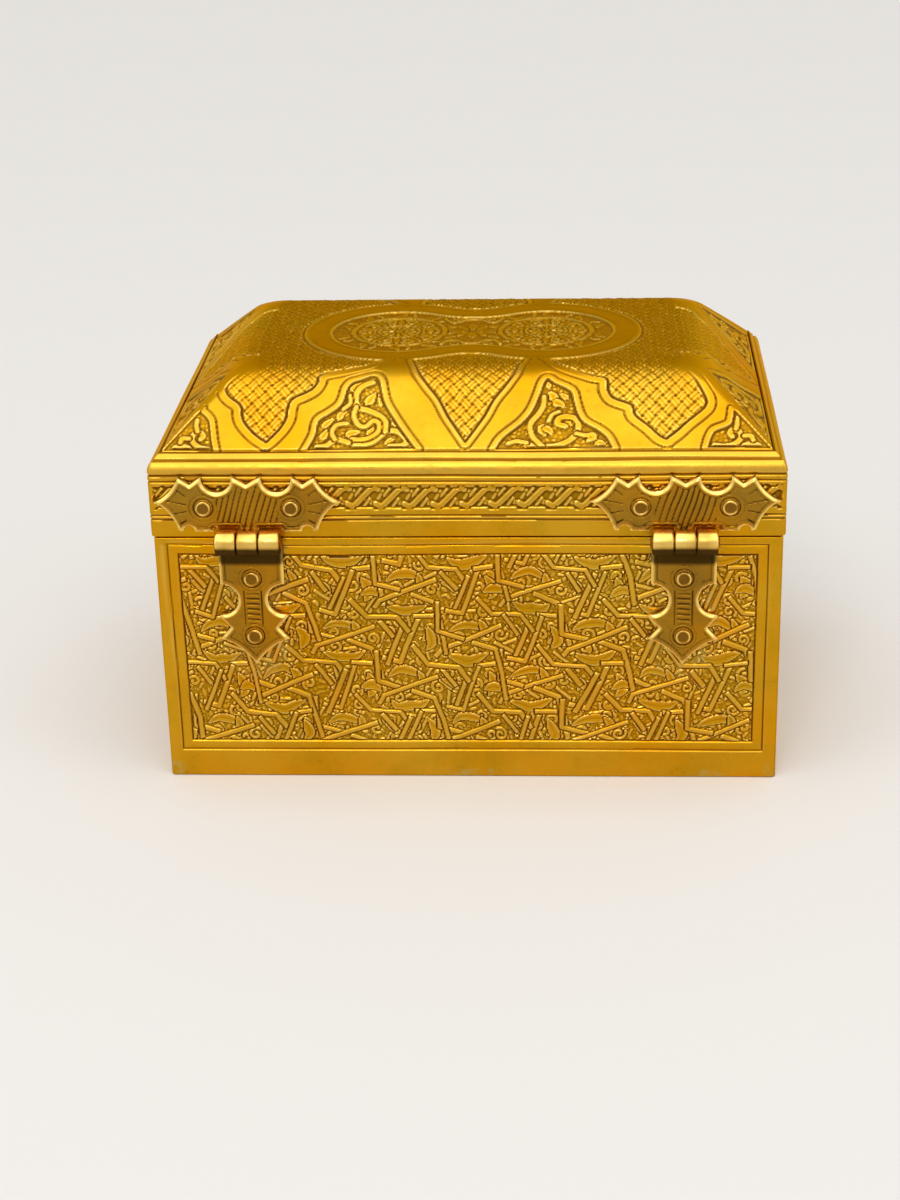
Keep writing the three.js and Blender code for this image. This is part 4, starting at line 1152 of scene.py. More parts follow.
END_STEMS = [
    ([(12.0, 5.0), (15, 4.4), (18.5, 4.8), (21, 6.6), (21.6, 9), (20.2, 11), (18, 11.2), (16.8, 9.8),
      (17.4, 8.3), (18.8, 8.4)], 0.36),
    ([(14.4, 4.6), (13.8, 7.0), (14.8, 9.4), (16.6, 12.4), (19.2, 14.4)], 0.3),
    ([(21.4, 7.4), (23.6, 7.6), (25.4, 6.4), (25.6, 4.9), (24.2, 4.6), (23.8, 5.6)], 0.32),
    ([(21.2, 10.4), (22.0, 12.2), (21.4, 14.2)], 0.3),
]
END_LEAVES = [
    ([(19.2, 13.0), (20.2, 13.6), (20.6, 14.8)], 0.5),
    ([(15.8, 6.4), (16.8, 6.8), (18.0, 6.2)], 0.5),
    ([(27.0, 5.0), (28.2, 4.8), (29.2, 4.2)], 0.45),
    ([(23.4, 9.6), (24.2, 10.4), (24.2, 11.4)], 0.45),
]


def scrollwork(u, v, filling, stems, leaves):
    """Heights of leaves and stems over the matted ground."""
    relief = Relief(u, v, -FIELD_DEPTH, filling.copy())
    for points, width in leaves:
        line = curve(points)
        relief.raise_line(line, drop_width(1.25 * width), -0.12, dome=-0.07)
        relief.cut_line(line, 0.16, 0.1)
    for points, width in stems:
        relief.raise_line(curve(points), 1.5 * width, -0.03, dome=0.03)
    return relief.height


def medallion_ornament(u, v, filling):
    """A rosette in each lobe with a ring of scrolls and leaves round it, and a flower at the waist."""
    relief = Relief(u, v, -FIELD_DEPTH, filling.copy())
    centre = (LOBE_OFFSET, 0.0)
    waist = (0.0, 0.0)

    def at(radius, degrees, origin=centre):
        angle = math.radians(degrees)
        return (origin[0] + radius * math.cos(angle), origin[1] + radius * math.sin(angle))

    def spray(places, width, top, dome=0.1, origin=centre):
        """A raised line through places of (distance from the centre, degrees round it)."""
        line = curve([at(radius, degrees, origin) for radius, degrees in places])
        relief.raise_line(line, width, top, dome=dome)
        return line

    for degrees in (18, 54, 90, 126, 162):
        leaf = spray([(9.2, degrees - 7), (10.2, degrees), (11.7, degrees + 3)], drop_width(0.75), -0.08)
        relief.cut_line(leaf, 0.2, 0.1)
        spray([(9.0, degrees + 10), (10.2, degrees + 14), (11.2, degrees + 11)], 0.26, -0.1, dome=0.05)
    for degrees in (0, 36, 72, 108, 144, 180):
        way = math.radians(degrees + 180)
        relief.raise_line(spiral(at(6.1, degrees), 1.75, 0.5, way, 1.2), 0.34, -0.06)
    for degrees in (18, 54, 90, 126, 162):
        spray([(radius, degrees) for radius in (4.1, 5.6, 7.4)], leaf_width(0.6), -0.08)
    relief.raise_line(arc(centre, 8.5, 0, math.pi, 40), 0.42, -0.03)
    relief.raise_line(arc(centre, 3.7, 0, math.pi, 24), 0.3, -0.05)
    for degrees in range(0, 181, 30):
        spray([(radius, degrees) for radius in (0.9, 2.0, 3.2)], leaf_width(0.5), -0.05)
    relief.raise_line(arc(centre, 0.3, 0, math.pi, 8), 0.4, -0.04)
    for degrees in (0, 90):
        places = [(radius, degrees) for radius in (0.8, 2.6, 4.4)]
        petal = spray(places, leaf_width(1.0), -0.06, dome=0.12, origin=waist)
        relief.cut_line(petal, 0.2, 0.12)
    spray([(1.2, 45), (2.6, 45), (4.0, 50)], leaf_width(0.7), -0.08, origin=waist)
    stem = curve([(0, 7.6), (1.4, 7.2), (2.6, 6.0), (3.8, 5.6), (4.8, 6.6), (5.4, 8.0)])
    relief.raise_line(stem, 0.34, -0.05)
    relief.raise_line(spiral((2.9, 7.6), 0.9, 0.25, 0, 1.1), 0.2, -0.1)
    return relief.height


def crown_ornament(x, y, inset_x, inset_y, run):
    """Heights of the crown's relief. Long sides are drawn in (distance along, distance up)."""

    def field(outline, u, v):
        return signed_distance(curve(outline, 3), u, v)

    def handed(left, right, u, v):
        """The engraver drew the two halves of the long sides apart."""
        return np.where(x < 0, field(left, u, v), field(right, u, v))

    long_side = inset_y <= inset_x
    along_long = np.where(long_side, np.abs(x), OUT_OF_REACH)
    along_end = np.where(long_side, OUT_OF_REACH, np.abs(y))
    long_u = along_long + drift(x, y, 30, 0.1, 90)
    long_v = run + drift(x, y, 30, 0.1, 91)
    end_u = along_end + drift(x, y, 30, 0.1, 92)
    flat = (inset_x > ARC_END) & (inset_y > ARC_END)
    around = medallion_distance(x + drift(x, y, 40, 0.12, 93), y + drift(x, y, 40, 0.12, 94))
    outside_band = MEDALLION_BAND - around
    # On the flat top both ways of measuring agree, so a field that starts on one side reaches all of it
    top_u = np.where(flat, np.abs(x), long_u)
    top_v = np.where(flat, RUN_END + inset_y - ARC_END, long_v)
    end_top_u = np.where(flat, np.abs(y), end_u)
    end_top_v = np.where(flat, RUN_END + inset_x - ARC_END, long_v)
    spade = np.maximum(signed_distance(both_halves(curve(SPADE, 3)), top_u, top_v), outside_band)
    cartouches = (WAISTED_LEFT[::-1] + WAISTED_RIGHT, CARTOUCHE_LEFT[::-1] + CARTOUCHE_RIGHT)
    cartouche = handed(*cartouches, top_u, top_v)
    end_cartouche = signed_distance(both_halves(curve(END_CARTOUCHE, 3)), end_top_u, end_top_v)
    woven = np.maximum(np.minimum(cartouche, end_cartouche), outside_band)
    spandrel = handed(BROAD_SPANDREL, SPANDREL, long_u, long_v)
    corner = handed(STEEP_CORNER, CORNER, long_u, long_v)
    end_spandrel = field(END_SPANDREL, end_u, long_v)
    # Lines along the medallion's band, and one beside each field outside it
    height = -0.2 * v_cut(around - 0.9, 0.32)
    height -= 0.2 * v_cut(around - 4.1, 0.32)
    outer = np.where(around > MEDALLION_BAND, 1.0, 0.0)
    edges = ((spade, 1.0), (woven, 1.45), (spandrel, 1.15), (corner, 1.15), (end_spandrel, 1.15))
    for distance, place in edges:
        height -= 0.3 * v_cut(distance - place, 0.26) * outer
    warp_u = np.where(long_side, x, y) + drift(x, y, 14, 0.18, 95) + drift(x, y, 5, 0.08, 89)
    warp_v = run + drift(x, y, 14, 0.18, 96) + drift(x, y, 5, 0.08, 88)
    weave = basket(warp_u, 0.9 * warp_v, -FIELD_DEPTH) - 0.03 * drift(x, y, 3, 1.0, 97)
    matted = chips(warp_u, warp_v, (0.95, 0.8), 0.05, -FIELD_DEPTH, 99, top=0.24)
    narrow = scrollwork(long_u, long_v, matted, SPANDREL_STEMS + CORNER_STEMS, SPANDREL_LEAVES)
    broad = scrollwork(long_u, long_v, matted, BROAD_STEMS + CORNER_STEMS, BROAD_LEAVES)
    ends = scrollwork(end_u, long_v, matted, END_STEMS, END_LEAVES)
    scroll = np.where(long_side, np.where(x < 0, broad, narrow), ends)
    rosette = medallion_ornament(np.abs(x), np.abs(y), matted)
    fields = (
        (np.minimum(spade, woven), weave),
        (np.minimum(np.minimum(spandrel, corner), end_spandrel), scroll),
        (np.where(flat, around, FAR), rosette),
    )
    for distance, filling in fields:
        inside = smooth(0.0, -0.16, distance)
        beyond_moat = smooth(-0.4, -0.56, distance)
        sunk = -FIELD_DEPTH * (1 - beyond_moat) + filling * beyond_moat
        height = height * (1 - inside) + sunk * inside
    # The corners of the flat top are rubbed smooth
    rubbed_and_highlight = np.exp(-((inset_x - 16.0) ** 2 + (inset_y - 16.6) ** 2) / 11)
    height *= 1 - 0.95 * np.clip(1.3 * rubbed_and_highlight, 0, 1)
    # Groove along the foot of the crown, beside the rim
    height -= 0.3 * v_cut(run - 3.42, 0.24)
    return np.minimum(height - skin_dip(x, y, 98), 0)


def crown_piece():
    """The crown's mesh: the chased skin over the top, rings down to the seat, and the flat underside."""
    edge = JOINT_INSET + CROWN_CLEARANCE
    half_x, half_y = LID_HALF - edge, LID_DEPTH_HALF - edge
    xs = mirrored(graded(0.0, (half_x - 15, 0.215), (half_x, 0.18)))
    ys = mirrored(graded(0.0, (half_y - 16, 0.25), (half_y, 0.135)))
    x, y = np.meshgrid(xs, ys)
    inset_x, inset_y = LID_HALF - np.abs(x), LID_DEPTH_HALF - np.abs(y)
    share = np.clip((np.minimum(inset_x, inset_y) - edge) / (ARC_END - edge), 0, 1)
    inset = smooth_least(inset_x, inset_y, 0.5 + 4.5 * share**1.5)
    inset = np.where(share > 0, np.maximum(inset, edge * 0.9), inset)
    z = crown_height(inset)
    run = crown_run(np.minimum(inset_x, inset_y))
    heights = crown_ornament(x, y, inset_x, inset_y, run)
    slope_y, slope_x = np.gradient(z, ys, xs)
    length = np.sqrt(1 + slope_x**2 + slope_y**2)
    across, deep, up = -heights * slope_x / length, -heights * slope_y / length, heights / length
    skin = np.stack([x + across, y + deep, z + up], axis=-1)
    rows, columns = x.shape
    skin_faces = grid_faces(rows, columns, wrap=False)
    skin_uv = np.stack([(x + half_x) / (2 * half_x), (y + half_y) / (2 * half_y)], axis=-1).reshape(-1, 2)
    skin_uv = np.array([0.01, 0.31]) + skin_uv * np.array([0.98, 0.68])
    index = np.arange(rows * columns).reshape(rows, columns)
    border = np.concatenate([index[0, :-1], index[:-1, -1], index[-1, :0:-1], index[:0:-1, 0]])
    flat_ring = np.column_stack([x.ravel()[border] / half_x, y.ravel()[border] / half_y])
    # Rings under the skin: down to the seat, in along it, and up the underside
    under = [(edge, SEAT_Z), (JOINT_INSET + SEAT_WIDTH, SEAT_Z)]
    radius = CREASE_RADIUS - CROWN_THICKNESS
    for step in range(4):
        angle = SLOPE_ANGLE * (1 - step / 3)
        under.append((ARC_END - radius * math.sin(angle), LID_TOP - CREASE_RADIUS + radius * math.cos(angle)))
    rings = []
    for place, level in under:
        halves = np.array([LID_HALF - place, LID_DEPTH_HALF - place])
        rings.append(np.column_stack([flat_ring * halves, np.full(len(border), level)]))
    base = rows * columns
    count = len(border)
    loops = [border] + [base + number * count + np.arange(count) for number in range(len(rings))]
    # On the bake's square the skin is on top, the rings' strips lie under it and the ceiling at the foot
    side_faces, side_uv = [], []
    here = np.arange(count)
    for number, (upper, lower) in enumerate(zip(loops, loops[1:])):
        side_faces.append(np.column_stack([upper, lower, np.roll(lower, -1), np.roll(upper, -1)]))
        top, foot = 0.29 - 0.03 * number, 0.29 - 0.03 * (number + 1)
        # These quads start down the ring's side, so the helper's two directions change places
        side_uv.append(quad_uv(top, foot, here / count, (here + 1) / count)[:, ::-1])
    ceiling = loops[-1][None, ::-1]
    ceiling_uv = np.array([0.02, 0.0]) + (flat_ring[::-1] * 0.5 + 0.5) * np.array([0.3, 0.04])
    vertices = np.vstack([skin.reshape(-1, 3), *rings])
    hollow_and_shade, worn = wear(heights, FIELD_DEPTH)
    # Painted shade over the crease and the flat top, where the hollows are darkened less
    painted_top_shade = smooth(ARC_START, ARC_END, inset)
    hollow_and_shade *= 1 - 0.65 * painted_top_shade
    extra = count * len(rings)
    looks = {"hollow_and_shade": (hollow_and_shade, PLAIN_CAVITY), "edge": (worn, 0.0), "painted_top_shade": (painted_top_shade, 0.0)}
    attributes = {key: np.append(own, np.full(extra, rest)) for key, (own, rest) in looks.items()}
    corner_uv = np.vstack([skin_uv[skin_faces.ravel()], *side_uv, ceiling_uv])
    mesh = make_mesh("chased_crown", vertices, [skin_faces, *side_faces, ceiling], attributes, corner_uv)
    add_piece("chased_crown", mesh, "lid", "engraved_brass", "lid_crown")


crown_piece()


# Straps: an outline cut from plate, with a chased face, and rolled knuckles


def resampled(points, spacing):
    """The closed outline with its long runs divided."""
    points = np.asarray(points, float)
    keep = np.hypot(*(points - np.roll(points, 1, axis=0)).T) > 1e-4
    points = points[keep]
    parts = []
    for start, end in zip(points, np.roll(points, -1, axis=0)):
        count = max(1, math.ceil(math.dist(start, end) / spacing))
        parts.append(start + (end - start) * (np.arange(count) / count)[:, None])
    return np.vstack(parts)


def triangles_within(loops, points):
    """Triangles over the points that lie inside the first loop and outside the others."""
    edges = []
    start = 0
    for loop in loops:
        edges += [(start + i, start + (i + 1) % len(loop)) for i in range(len(loop))]
        start += len(loop)
    # Tested at the triangulation's own precision, so thin triangles outside a straight edge fall away
    loops = [loop.astype(np.float32).astype(float) for loop in loops]
    placed, _, faces, _, _, _ = delaunay_2d_cdt([Vector(point) for point in points], edges, [], 0, 1e-6)
    placed = np.array([tuple(point) for point in placed])
    faces = np.array(faces)
    faces = faces[inside_loops(loops, placed[faces].mean(axis=1))]
    corners = placed[faces]
    turn = np.cross(corners[:, 1] - corners[:, 0], corners[:, 2] - corners[:, 0])
    return placed, faces if turn.sum() > 0 else faces[:, ::-1]


PLATE_SPACING = 0.22
EDGE_SPACING = 0.3


def plate(loops, thickness, relief, back=0.0):
    """A chased plate in a frame of (along, out, up). relief(x, z, depth in from the edge) shapes its face."""
    spacing = PLATE_SPACING * COARSE
    loops = [resampled(loop, EDGE_SPACING * COARSE) for loop in loops]
    border = np.vstack(loops)
    closed = [np.vstack([loop, loop[:1]]) for loop in loops]

    def edge_distance(points):
        return np.min([nearest_on_line(line, points[:, 0], points[:, 1])[0] for line in closed], axis=0)

    low, high = border.min(0), border.max(0)
    gx, gz = np.meshgrid(np.arange(low[0], high[0], spacing), np.arange(low[1], high[1], spacing * 0.87))
    gx = gx + (np.arange(gx.shape[0]) % 2)[:, None] * spacing / 2
    fill = np.column_stack([gx.ravel(), gz.ravel()])
    inner = [fill[edge_distance(fill) > 0.36]]
    for loop in loops:
        ahead = np.roll(loop, -1, axis=0) - np.roll(loop, 1, axis=0)
        normal = np.column_stack([-ahead[:, 1], ahead[:, 0]]) / np.maximum(np.hypot(*ahead.T), 1e-9)[:, None]
        for depth in (0.1, 0.24):
            for way in (-depth, depth):
                ring = loop + normal * way
                inner.append(ring[edge_distance(ring) > 0.9 * depth])
    inner = np.vstack(inner)
    placed, faces = triangles_within(loops, np.vstack([border, inner[inside_loops(loops, inner)]]))
    depth = edge_distance(placed)
    depth[: len(border)] = 0
    heights = relief(placed[:, 0], placed[:, 1], depth)
    front = np.column_stack([placed[:, 0], thickness + heights, placed[:, 1]])
    rear_placed, rear_faces = triangles_within(loops, border)
    rear = np.column_stack([rear_placed[:, 0], np.full(len(rear_placed), back), rear_placed[:, 1]])
    offset = len(front)
    sides = []
    start = 0
    for loop in loops:
        here = start + np.arange(len(loop))
        after = start + (np.arange(len(loop)) + 1) % len(loop)
        area = np.sum(loop[:, 0] * np.roll(loop[:, 1], -1) - np.roll(loop[:, 0], -1) * loop[:, 1])
        hole = start > 0
        quads = np.column_stack([here, offset + here, offset + after, after])
        if (area < 0) != hole:
            quads = quads[:, ::-1]
        sides.append(quads)
        start += len(loop)
    sunk = np.clip((-heights - 0.04) / 0.2, 0, 1) * smooth(0.35, 0.75, depth)
    hollow_and_shade = np.concatenate([sunk, np.full(len(rear), 0.4)])
    edge = np.concatenate([smooth(0.75, 0.15, depth), np.zeros(len(rear))])
    vertices = np.vstack([front, rear])
    return vertices, [faces, *sides, rear_faces[:, ::-1] + offset], {"hollow_and_shade": hollow_and_shade, "edge": edge}


def revolved(profile, segments, capped):
    """A turned form about the first axis, from a run of (place on the axis, radius)."""
    profile = np.asarray(profile, float)
    angles = np.arange(segments) * 2 * math.pi / segments
    place, radius = profile[:, :1], profile[:, 1:2]
    rings = np.broadcast_arrays(place, radius * np.cos(angles), radius * np.sin(angles))
    vertices = np.stack(rings, axis=-1).reshape(-1, 3)
    rows = len(profile)
    r = np.arange(rows - 1 if capped else rows)[:, None]
    c = np.arange(segments)[None, :]
    above, beside = (r + 1) % rows, (c + 1) % segments
    corners = [r * segments + c, above * segments + c, above * segments + beside, r * segments + beside]
    polygons = [np.stack(corners, axis=-1).reshape(-1, 4)]
    if capped:
        first = np.arange(segments)
        polygons += [first[None, :], (first + (rows - 1) * segments)[None, ::-1]]
    return vertices, polygons


def merged(parts):
    """One mesh's arrays from several (vertices, polygons, attributes)."""
    vertices, polygons, attributes = [], [], {"hollow_and_shade": [], "edge": []}
    start = 0
    for points, faces, values in parts:
        vertices.append(points)
        polygons += [np.asarray(group) + start for group in faces]
        for key, run in attributes.items():
            run.append(values[key])
        start += len(points)
    return np.vstack(vertices), polygons, {key: np.concatenate(run) for key, run in attributes.items()}


KNUCKLE_SEGMENTS = 48
ROD_SEGMENTS = 32
# The free bore round a hinge's pin
BORE_CLEARANCE = 0.1


def knuckle(start, end, radius, bore, seed):
    """A rolled knuckle along the first axis, worn round at its ends."""
    soft = 0.4
    inner = radius - soft
    bow = 0.05
    side = [(0, bore), (0, inner - 0.3), (0.06, inner)]
    side += [(soft * (1 - math.cos(a)), inner + soft * math.sin(a)) for a in (0.5, 1.0, 1.57)]
    profile = [(start + along, out) for along, out in side] + [((start + end) / 2, radius - bow)]
    profile += [(end - along, out) for along, out in side[::-1]]
    vertices, polygons = revolved(profile, KNUCKLE_SEGMENTS, capped=False)
    radial = np.hypot(vertices[:, 1], vertices[:, 2])
    worn = smooth(inner - 0.4, radius, radial)
    wave = drift(vertices[:, 0], vertices[:, 1] + vertices[:, 2], 5, 0.5, seed) + 0.5
    # Painted shade darkens the underside and dims the rubbed shine there
    under = smooth(0.12, -0.4, vertices[:, 2] / radial)
    hollow_and_shade = np.maximum(0.7 * (1 - worn), under)
    edge = worn * (1 - under) * np.clip(0.45 + 0.3 * wave, 0, 1)
    return vertices, polygons, {"hollow_and_shade": hollow_and_shade, "edge": edge}


def set_on(part, turn, distance, x=0.0, out=0.0, z=0.0, swing=0.0):
    """Moves a part from its own frame of (along, out, up) to its place on a side."""
    vertices, polygons, attributes = part
    along, outwards, up = vertices.T
    turned_out = outwards * math.cos(swing) - up * math.sin(swing)
    turned_up = outwards * math.sin(swing) + up * math.cos(swing)
    world = to_world(turn, along + x, turned_out + out + distance, turned_up + z)
    return world, polygons, attributes


def fitting(work, node, body, slot, parts):
    """A fitting named after its node and how it is made."""
    vertices, polygons, attributes = merged(parts)
    mesh = make_mesh(f"{work}_{node}", vertices, polygons, attributes, sharp=50)
    add_piece(f"{work}_{node}", mesh, body, slot, node)


def wing_half(strap):
    """Right half of a bat-wing outline, from the notch at the top to the arch at the foot."""
    notch, radius, wing_notch = strap["notch_half"], strap["scallop"], strap["wing_notch"]
    top, depth, foot, tip = strap["top"], strap["notch_depth"], strap["foot"], strap["tip"]
    wing = notch + 2 * radius
    end = wing + 2 * wing_notch
    side_tip = (strap["half_length"], tip)
    parts = [
        [(0, top - depth), (notch, top)],
        arc((notch + radius, top - 0.3), radius, math.pi, 2 * math.pi, 16),
        [(wing, top), (wing + wing_notch, top - depth)],
        bend((end, top - 0.2), (end + 1.5, tip + 1.2), side_tip),
        bend(side_tip, (end + 1.7, tip - 0.9), (end + 0.3, foot + 0.1))[1:],
    ]
    if strap["arch"] > 0:
        parts.append([(end - 0.4, foot)])
        parts.append(arc((end - 0.4 - strap["arch"], foot), strap["arch"], 0, math.pi, 10))
    return np.vstack(parts)


# Half width of the rings round the rivets
RING_WIDTH = 0.2


def ring_relief(x, z, centre, radius, width, depth):
    return -depth * v_cut(np.hypot(x - centre[0], z - centre[1]) - radius, width)


def beside_barrel(radius, offset):
    """How far from a hinge's axis a plate at this offset ends, clear of the barrel."""
    return math.sqrt((radius + HINGE_CLEARANCE) ** 2 - offset**2)


def bevel(depth, width=0.75, fall=0.5):
    return -fall * (1 - smooth(0, width, depth)) ** 1.3


def wing_relief(strap, seed):
    """Hatching between the rivets, rings round them, and rays towards the side tips."""
    rivet_x, rivet_z = strap["rivet_x"], strap["rivet_z"]

    def relief(x, z, depth):
        height = bevel(depth) + drift(x, z, 9, 0.03, seed)
        height -= 0.16 * v_cut(depth - 1.0, 0.18)
        for sign in (-1, 1):
            for radius, deep in ((1.7, 0.26), (2.5, 0.14)):
                height += ring_relief(x, z, (sign * rivet_x, rivet_z), radius, RING_WIDTH, deep)
        lean = x - 0.3 * (z - rivet_z) + drift(x, z, 8, 0.12, seed + 1)
        hatch = np.abs((lean / 1.05) % 1.0 - 0.5) * 1.05
        between = smooth(5.6, 5.2, np.abs(x)) * smooth(0.95, 1.15, depth)
        height -= 0.26 * v_cut(hatch, 0.24) * between
        rough = 0.05 + drift(x, z, 1.1, 0.05, seed + 3)
        height -= rough * smooth(strap["foot"] + 1.7, strap["foot"] + 1.1, z)
        for sign in (-1, 1):
            beyond = sign * x - rivet_x
            angle = np.arctan2(z - rivet_z, beyond)
            rays = np.abs((angle / 0.42) % 1.0 - 0.5) * 0.42 * np.maximum(np.hypot(beyond, z - rivet_z), 0.1)
            where = smooth(2.8, 3.1, beyond) * smooth(0.5, 0.9, depth)
            height -= 0.22 * v_cut(rays, 0.2) * where
        return height

    return relief


def lid_strap(name, centre_x, seed):
    strap = LID_STRAP
    rise = beside_barrel(KNUCKLE_RADIUS, HINGE_OUT - strap["thickness"])
    half = KNUCKLE_LENGTH / 2
    room = BARREL_HALF + HINGE_CLEARANCE
    foot = [(room, strap["foot"]), (room, rise), (half, rise), (half, 0), (0, 0)]
    outline = both_halves(np.vstack([wing_half(strap), foot]))
    leaf = plate([outline], strap["thickness"], wing_relief(strap, seed))
    roll = knuckle(-half, half, KNUCKLE_RADIUS - 0.06, PIN_RADIUS + BORE_CLEARANCE, seed + 2)
    place = {"turn": REAR, "distance": LID_DEPTH_HALF, "x": centre_x, "z": LID_FOOT}
    parts = [set_on(leaf, **place), set_on(roll, out=HINGE_OUT, **place)]
    fitting("chased", f"lid_strap_{name}", "lid", "strap_brass", parts)


def body_strap_half():
    strap = BODY_STRAP
    radius = strap["scallop"]
    rise = beside_barrel(KNUCKLE_RADIUS, HINGE_OUT + LID_OVERHANG - strap["thickness"])
    gap = KNUCKLE_LENGTH / 2 + KNUCKLE_GAP
    centre = (strap["neck_half"] + radius, -strap["shoulder"] - radius)
    upper_point = (strap["point_half"], -strap["upper_point"])
    notch = (strap["point_notch_half"], -strap["point_notch"])
    lower_point = (strap["point_half"], -strap["lower_point"])
    return np.vstack([
        [(0, -rise), (gap, -rise), (gap, -0.2), (BARREL_HALF, -0.2), (BARREL_HALF, -strap["shoulder"])],
        arc(centre, radius, math.pi / 2, 1.5 * math.pi, 18),
        [upper_point, notch, lower_point],
        bend(lower_point, (strap["neck_half"], -strap["lower_point"] - 1), (0, -strap["tip"]))[1:],
    ])


def body_strap_relief(x, z, depth):
    """Rings round the rivets, rungs down the neck with a line on each side, and lines on the upper plate."""
    height = bevel(depth) + drift(x, z, 9, 0.03, 210)
    for drop in BODY_STRAP["rivets"].values():
        for radius, deep in ((1.7, 0.26), (2.35, 0.14)):
            height += ring_relief(x, z, (0, -drop), radius, RING_WIDTH, deep)
    neck = smooth(-10.2, -10.7, z) * smooth(-16.6, -16.1, z)
    rung = (z + 0.06 * x) % 1.0 - 0.5
    height -= 0.28 * v_cut(rung, 0.28) * neck * smooth(1.3, 1.1, np.abs(x))
    height -= 0.26 * v_cut(np.abs(x) - 1.55, 0.2) * smooth(-9.6, -10.0, z) * smooth(-17.0, -16.4, z)
    height -= 0.2 * v_cut(depth - 1.0, 0.18) * (smooth(-9.0, -8.4, z) + smooth(-17.4, -18.0, z))
    return height


def body_strap(name, centre_x, seed):
    strap = BODY_STRAP
    gap = KNUCKLE_LENGTH / 2 + KNUCKLE_GAP
    leaf = plate([both_halves(body_strap_half())], strap["thickness"], body_strap_relief)
    vertices, _, attributes = leaf
    # Painted shadow darkens the plate below the barrel and dims its rubbed edges there
    shaded = smooth(-5.6, -4.2, vertices[:, 2])
    attributes["hollow_and_shade"] = np.maximum(attributes["hollow_and_shade"], shaded)
    attributes["edge"] = attributes["edge"] * (1 - 0.7 * shaded)
    place = {"turn": REAR, "distance": BODY_DEPTH_HALF, "x": centre_x, "z": LID_FOOT}
    parts = [set_on(leaf, **place)]
    for start, end in ((-BARREL_HALF, -gap), (gap, BARREL_HALF)):
        bore = PIN_RADIUS + BORE_CLEARANCE
        roll = knuckle(start, end, KNUCKLE_RADIUS, bore, seed + int(start > 0))
        parts.append(set_on(roll, out=HINGE_OUT + LID_OVERHANG, **place))
    fitting("chased", f"body_strap_{name}", "casket", "strap_brass", parts)


def pin(node, body, barrel_half, radius, place):
    half = barrel_half + PIN_PROUD
    side = [(0, 0.3), (0.04, 0.7), (PIN_PROUD * 0.8, 1)]
    profile = [(-half + along, share * radius) for along, share in side]
    profile += [(half - along, share * radius) for along, share in side[::-1]]
    vertices, polygons = revolved(profile, ROD_SEGMENTS, capped=True)
    attributes = {"hollow_and_shade": np.full(len(vertices), 0.1), "edge": np.full(len(vertices), 0.2)}
    fitting("turned", node, body, "rivet_brass", [set_on((vertices, polygons, attributes), **place)])


# Shares of a rivet's height and radius, from the end of the tail in, and up the head to its hollow middle
RIVET_TAIL = [(1, 0.3), (0.9, 0.7), (0.5, 0.95), (0, 1)]
RIVET_HEAD = [(0.35, 1), (0.8, 0.96), (1, 0.86), (0.96, 0.76), (0.74, 0.68), (0.7, 0.5), (0.74, 0.15)]


def rivet(node, body, turn, distance, thickness, x, z, seed):
    """A low hammered dome with a rubbed rim on the strap, and a tail closed on the wall's inside."""
    head = RIVET_HEAD_RADIUS
    grip = thickness + WALL
    profile = [(-grip - up * RIVET_TAIL_HEIGHT, out * RIVET_TAIL_RADIUS) for up, out in RIVET_TAIL]
    profile += [(-grip, RIVET_RADIUS), (-0.02, RIVET_RADIUS), (-0.02, head)]
    profile += [(up * RIVET_HEAD_HEIGHT, out * head) for up, out in RIVET_HEAD]
    vertices, polygons = revolved(profile, ROD_SEGMENTS, capped=True)
    radial = np.hypot(vertices[:, 1], vertices[:, 2])
    rim = smooth(0.66 * head, 0.78 * head, radial) * (vertices[:, 0] > 0.1)
    worn = rim * np.clip(0.6 + drift(vertices[:, 1], vertices[:, 2], 2, 0.4, seed), 0, 1)
    attributes = {"hollow_and_shade": 0.5 * (1 - rim), "edge": worn}
    # The turned form points along the first axis, and the rivet outwards
    outwards = vertices[:, [1, 0, 2]] * (-1, 1, 1)
    part = set_on((outwards, polygons, attributes), turn, distance, x, thickness, LID_FOOT + z)
    fitting("domed", node, body, "rivet_brass", [part])


def tongue_half():
    neck = HASP_KNUCKLE_LENGTH / 2
    neck_foot = HASP_OUT + 0.1
    scallop = 2.3
    shoulder = 4.6
    scallop_foot = shoulder + 2 * scallop
    lobe = (TONGUE_HALF, -TONGUE_LENGTH + 4.6)
    return np.vstack([
        [(0, 0), (neck, 0)],
        bend((neck, -neck_foot), (neck + 1, -shoulder + 0.4), (TONGUE_HALF, -shoulder)),
        arc((TONGUE_HALF, -shoulder - scallop), scallop, math.pi / 2, 1.5 * math.pi, 14)[1:],
        [
            (TONGUE_BLADE_HALF, -scallop_foot - 1.8),
            (TONGUE_BLADE_HALF, -TONGUE_LENGTH + 6),
            lobe,
        ],
        bend(lobe, (neck, -TONGUE_LENGTH + 3.8), (0, -TONGUE_LENGTH))[1:],
    ])


def tongue_slot():
    half = SLOT_WIDTH / 2
    past_axis = STAPLE_REACH - HASP_OUT - LID_OVERHANG
    top = -(STAPLE_DROP - SLOT_CLEARANCE) - half
    foot = -(math.hypot(past_axis, STAPLE_DROP + STAPLE_HEIGHT) + SLOT_CLEARANCE) + half
    return np.vstack([arc((0, top), half, 0, math.pi, 14), arc((0, foot), half, math.pi, 2 * math.pi, 14)])


def tongue_relief(x, z, depth):
    """A rosette above the slot and a line round the slot and the edge."""
    height = bevel(depth, 0.4, 0.3)
    centre = (0.0, -11.3)
    away = np.hypot(x - centre[0], z - centre[1])
    angle = np.arctan2(z - centre[1], x - centre[0])
    petals = np.abs(np.cos(3 * angle))
    height -= 0.26 * v_cut(away - 0.7 - 1.2 * petals, 0.26)
    height += ring_relief(x, z, centre, 2.5, 0.24, 0.22)
    height -= 0.2 * v_cut(depth - 0.9, 0.22) * smooth(-3.5, -5.0, z)
    return height


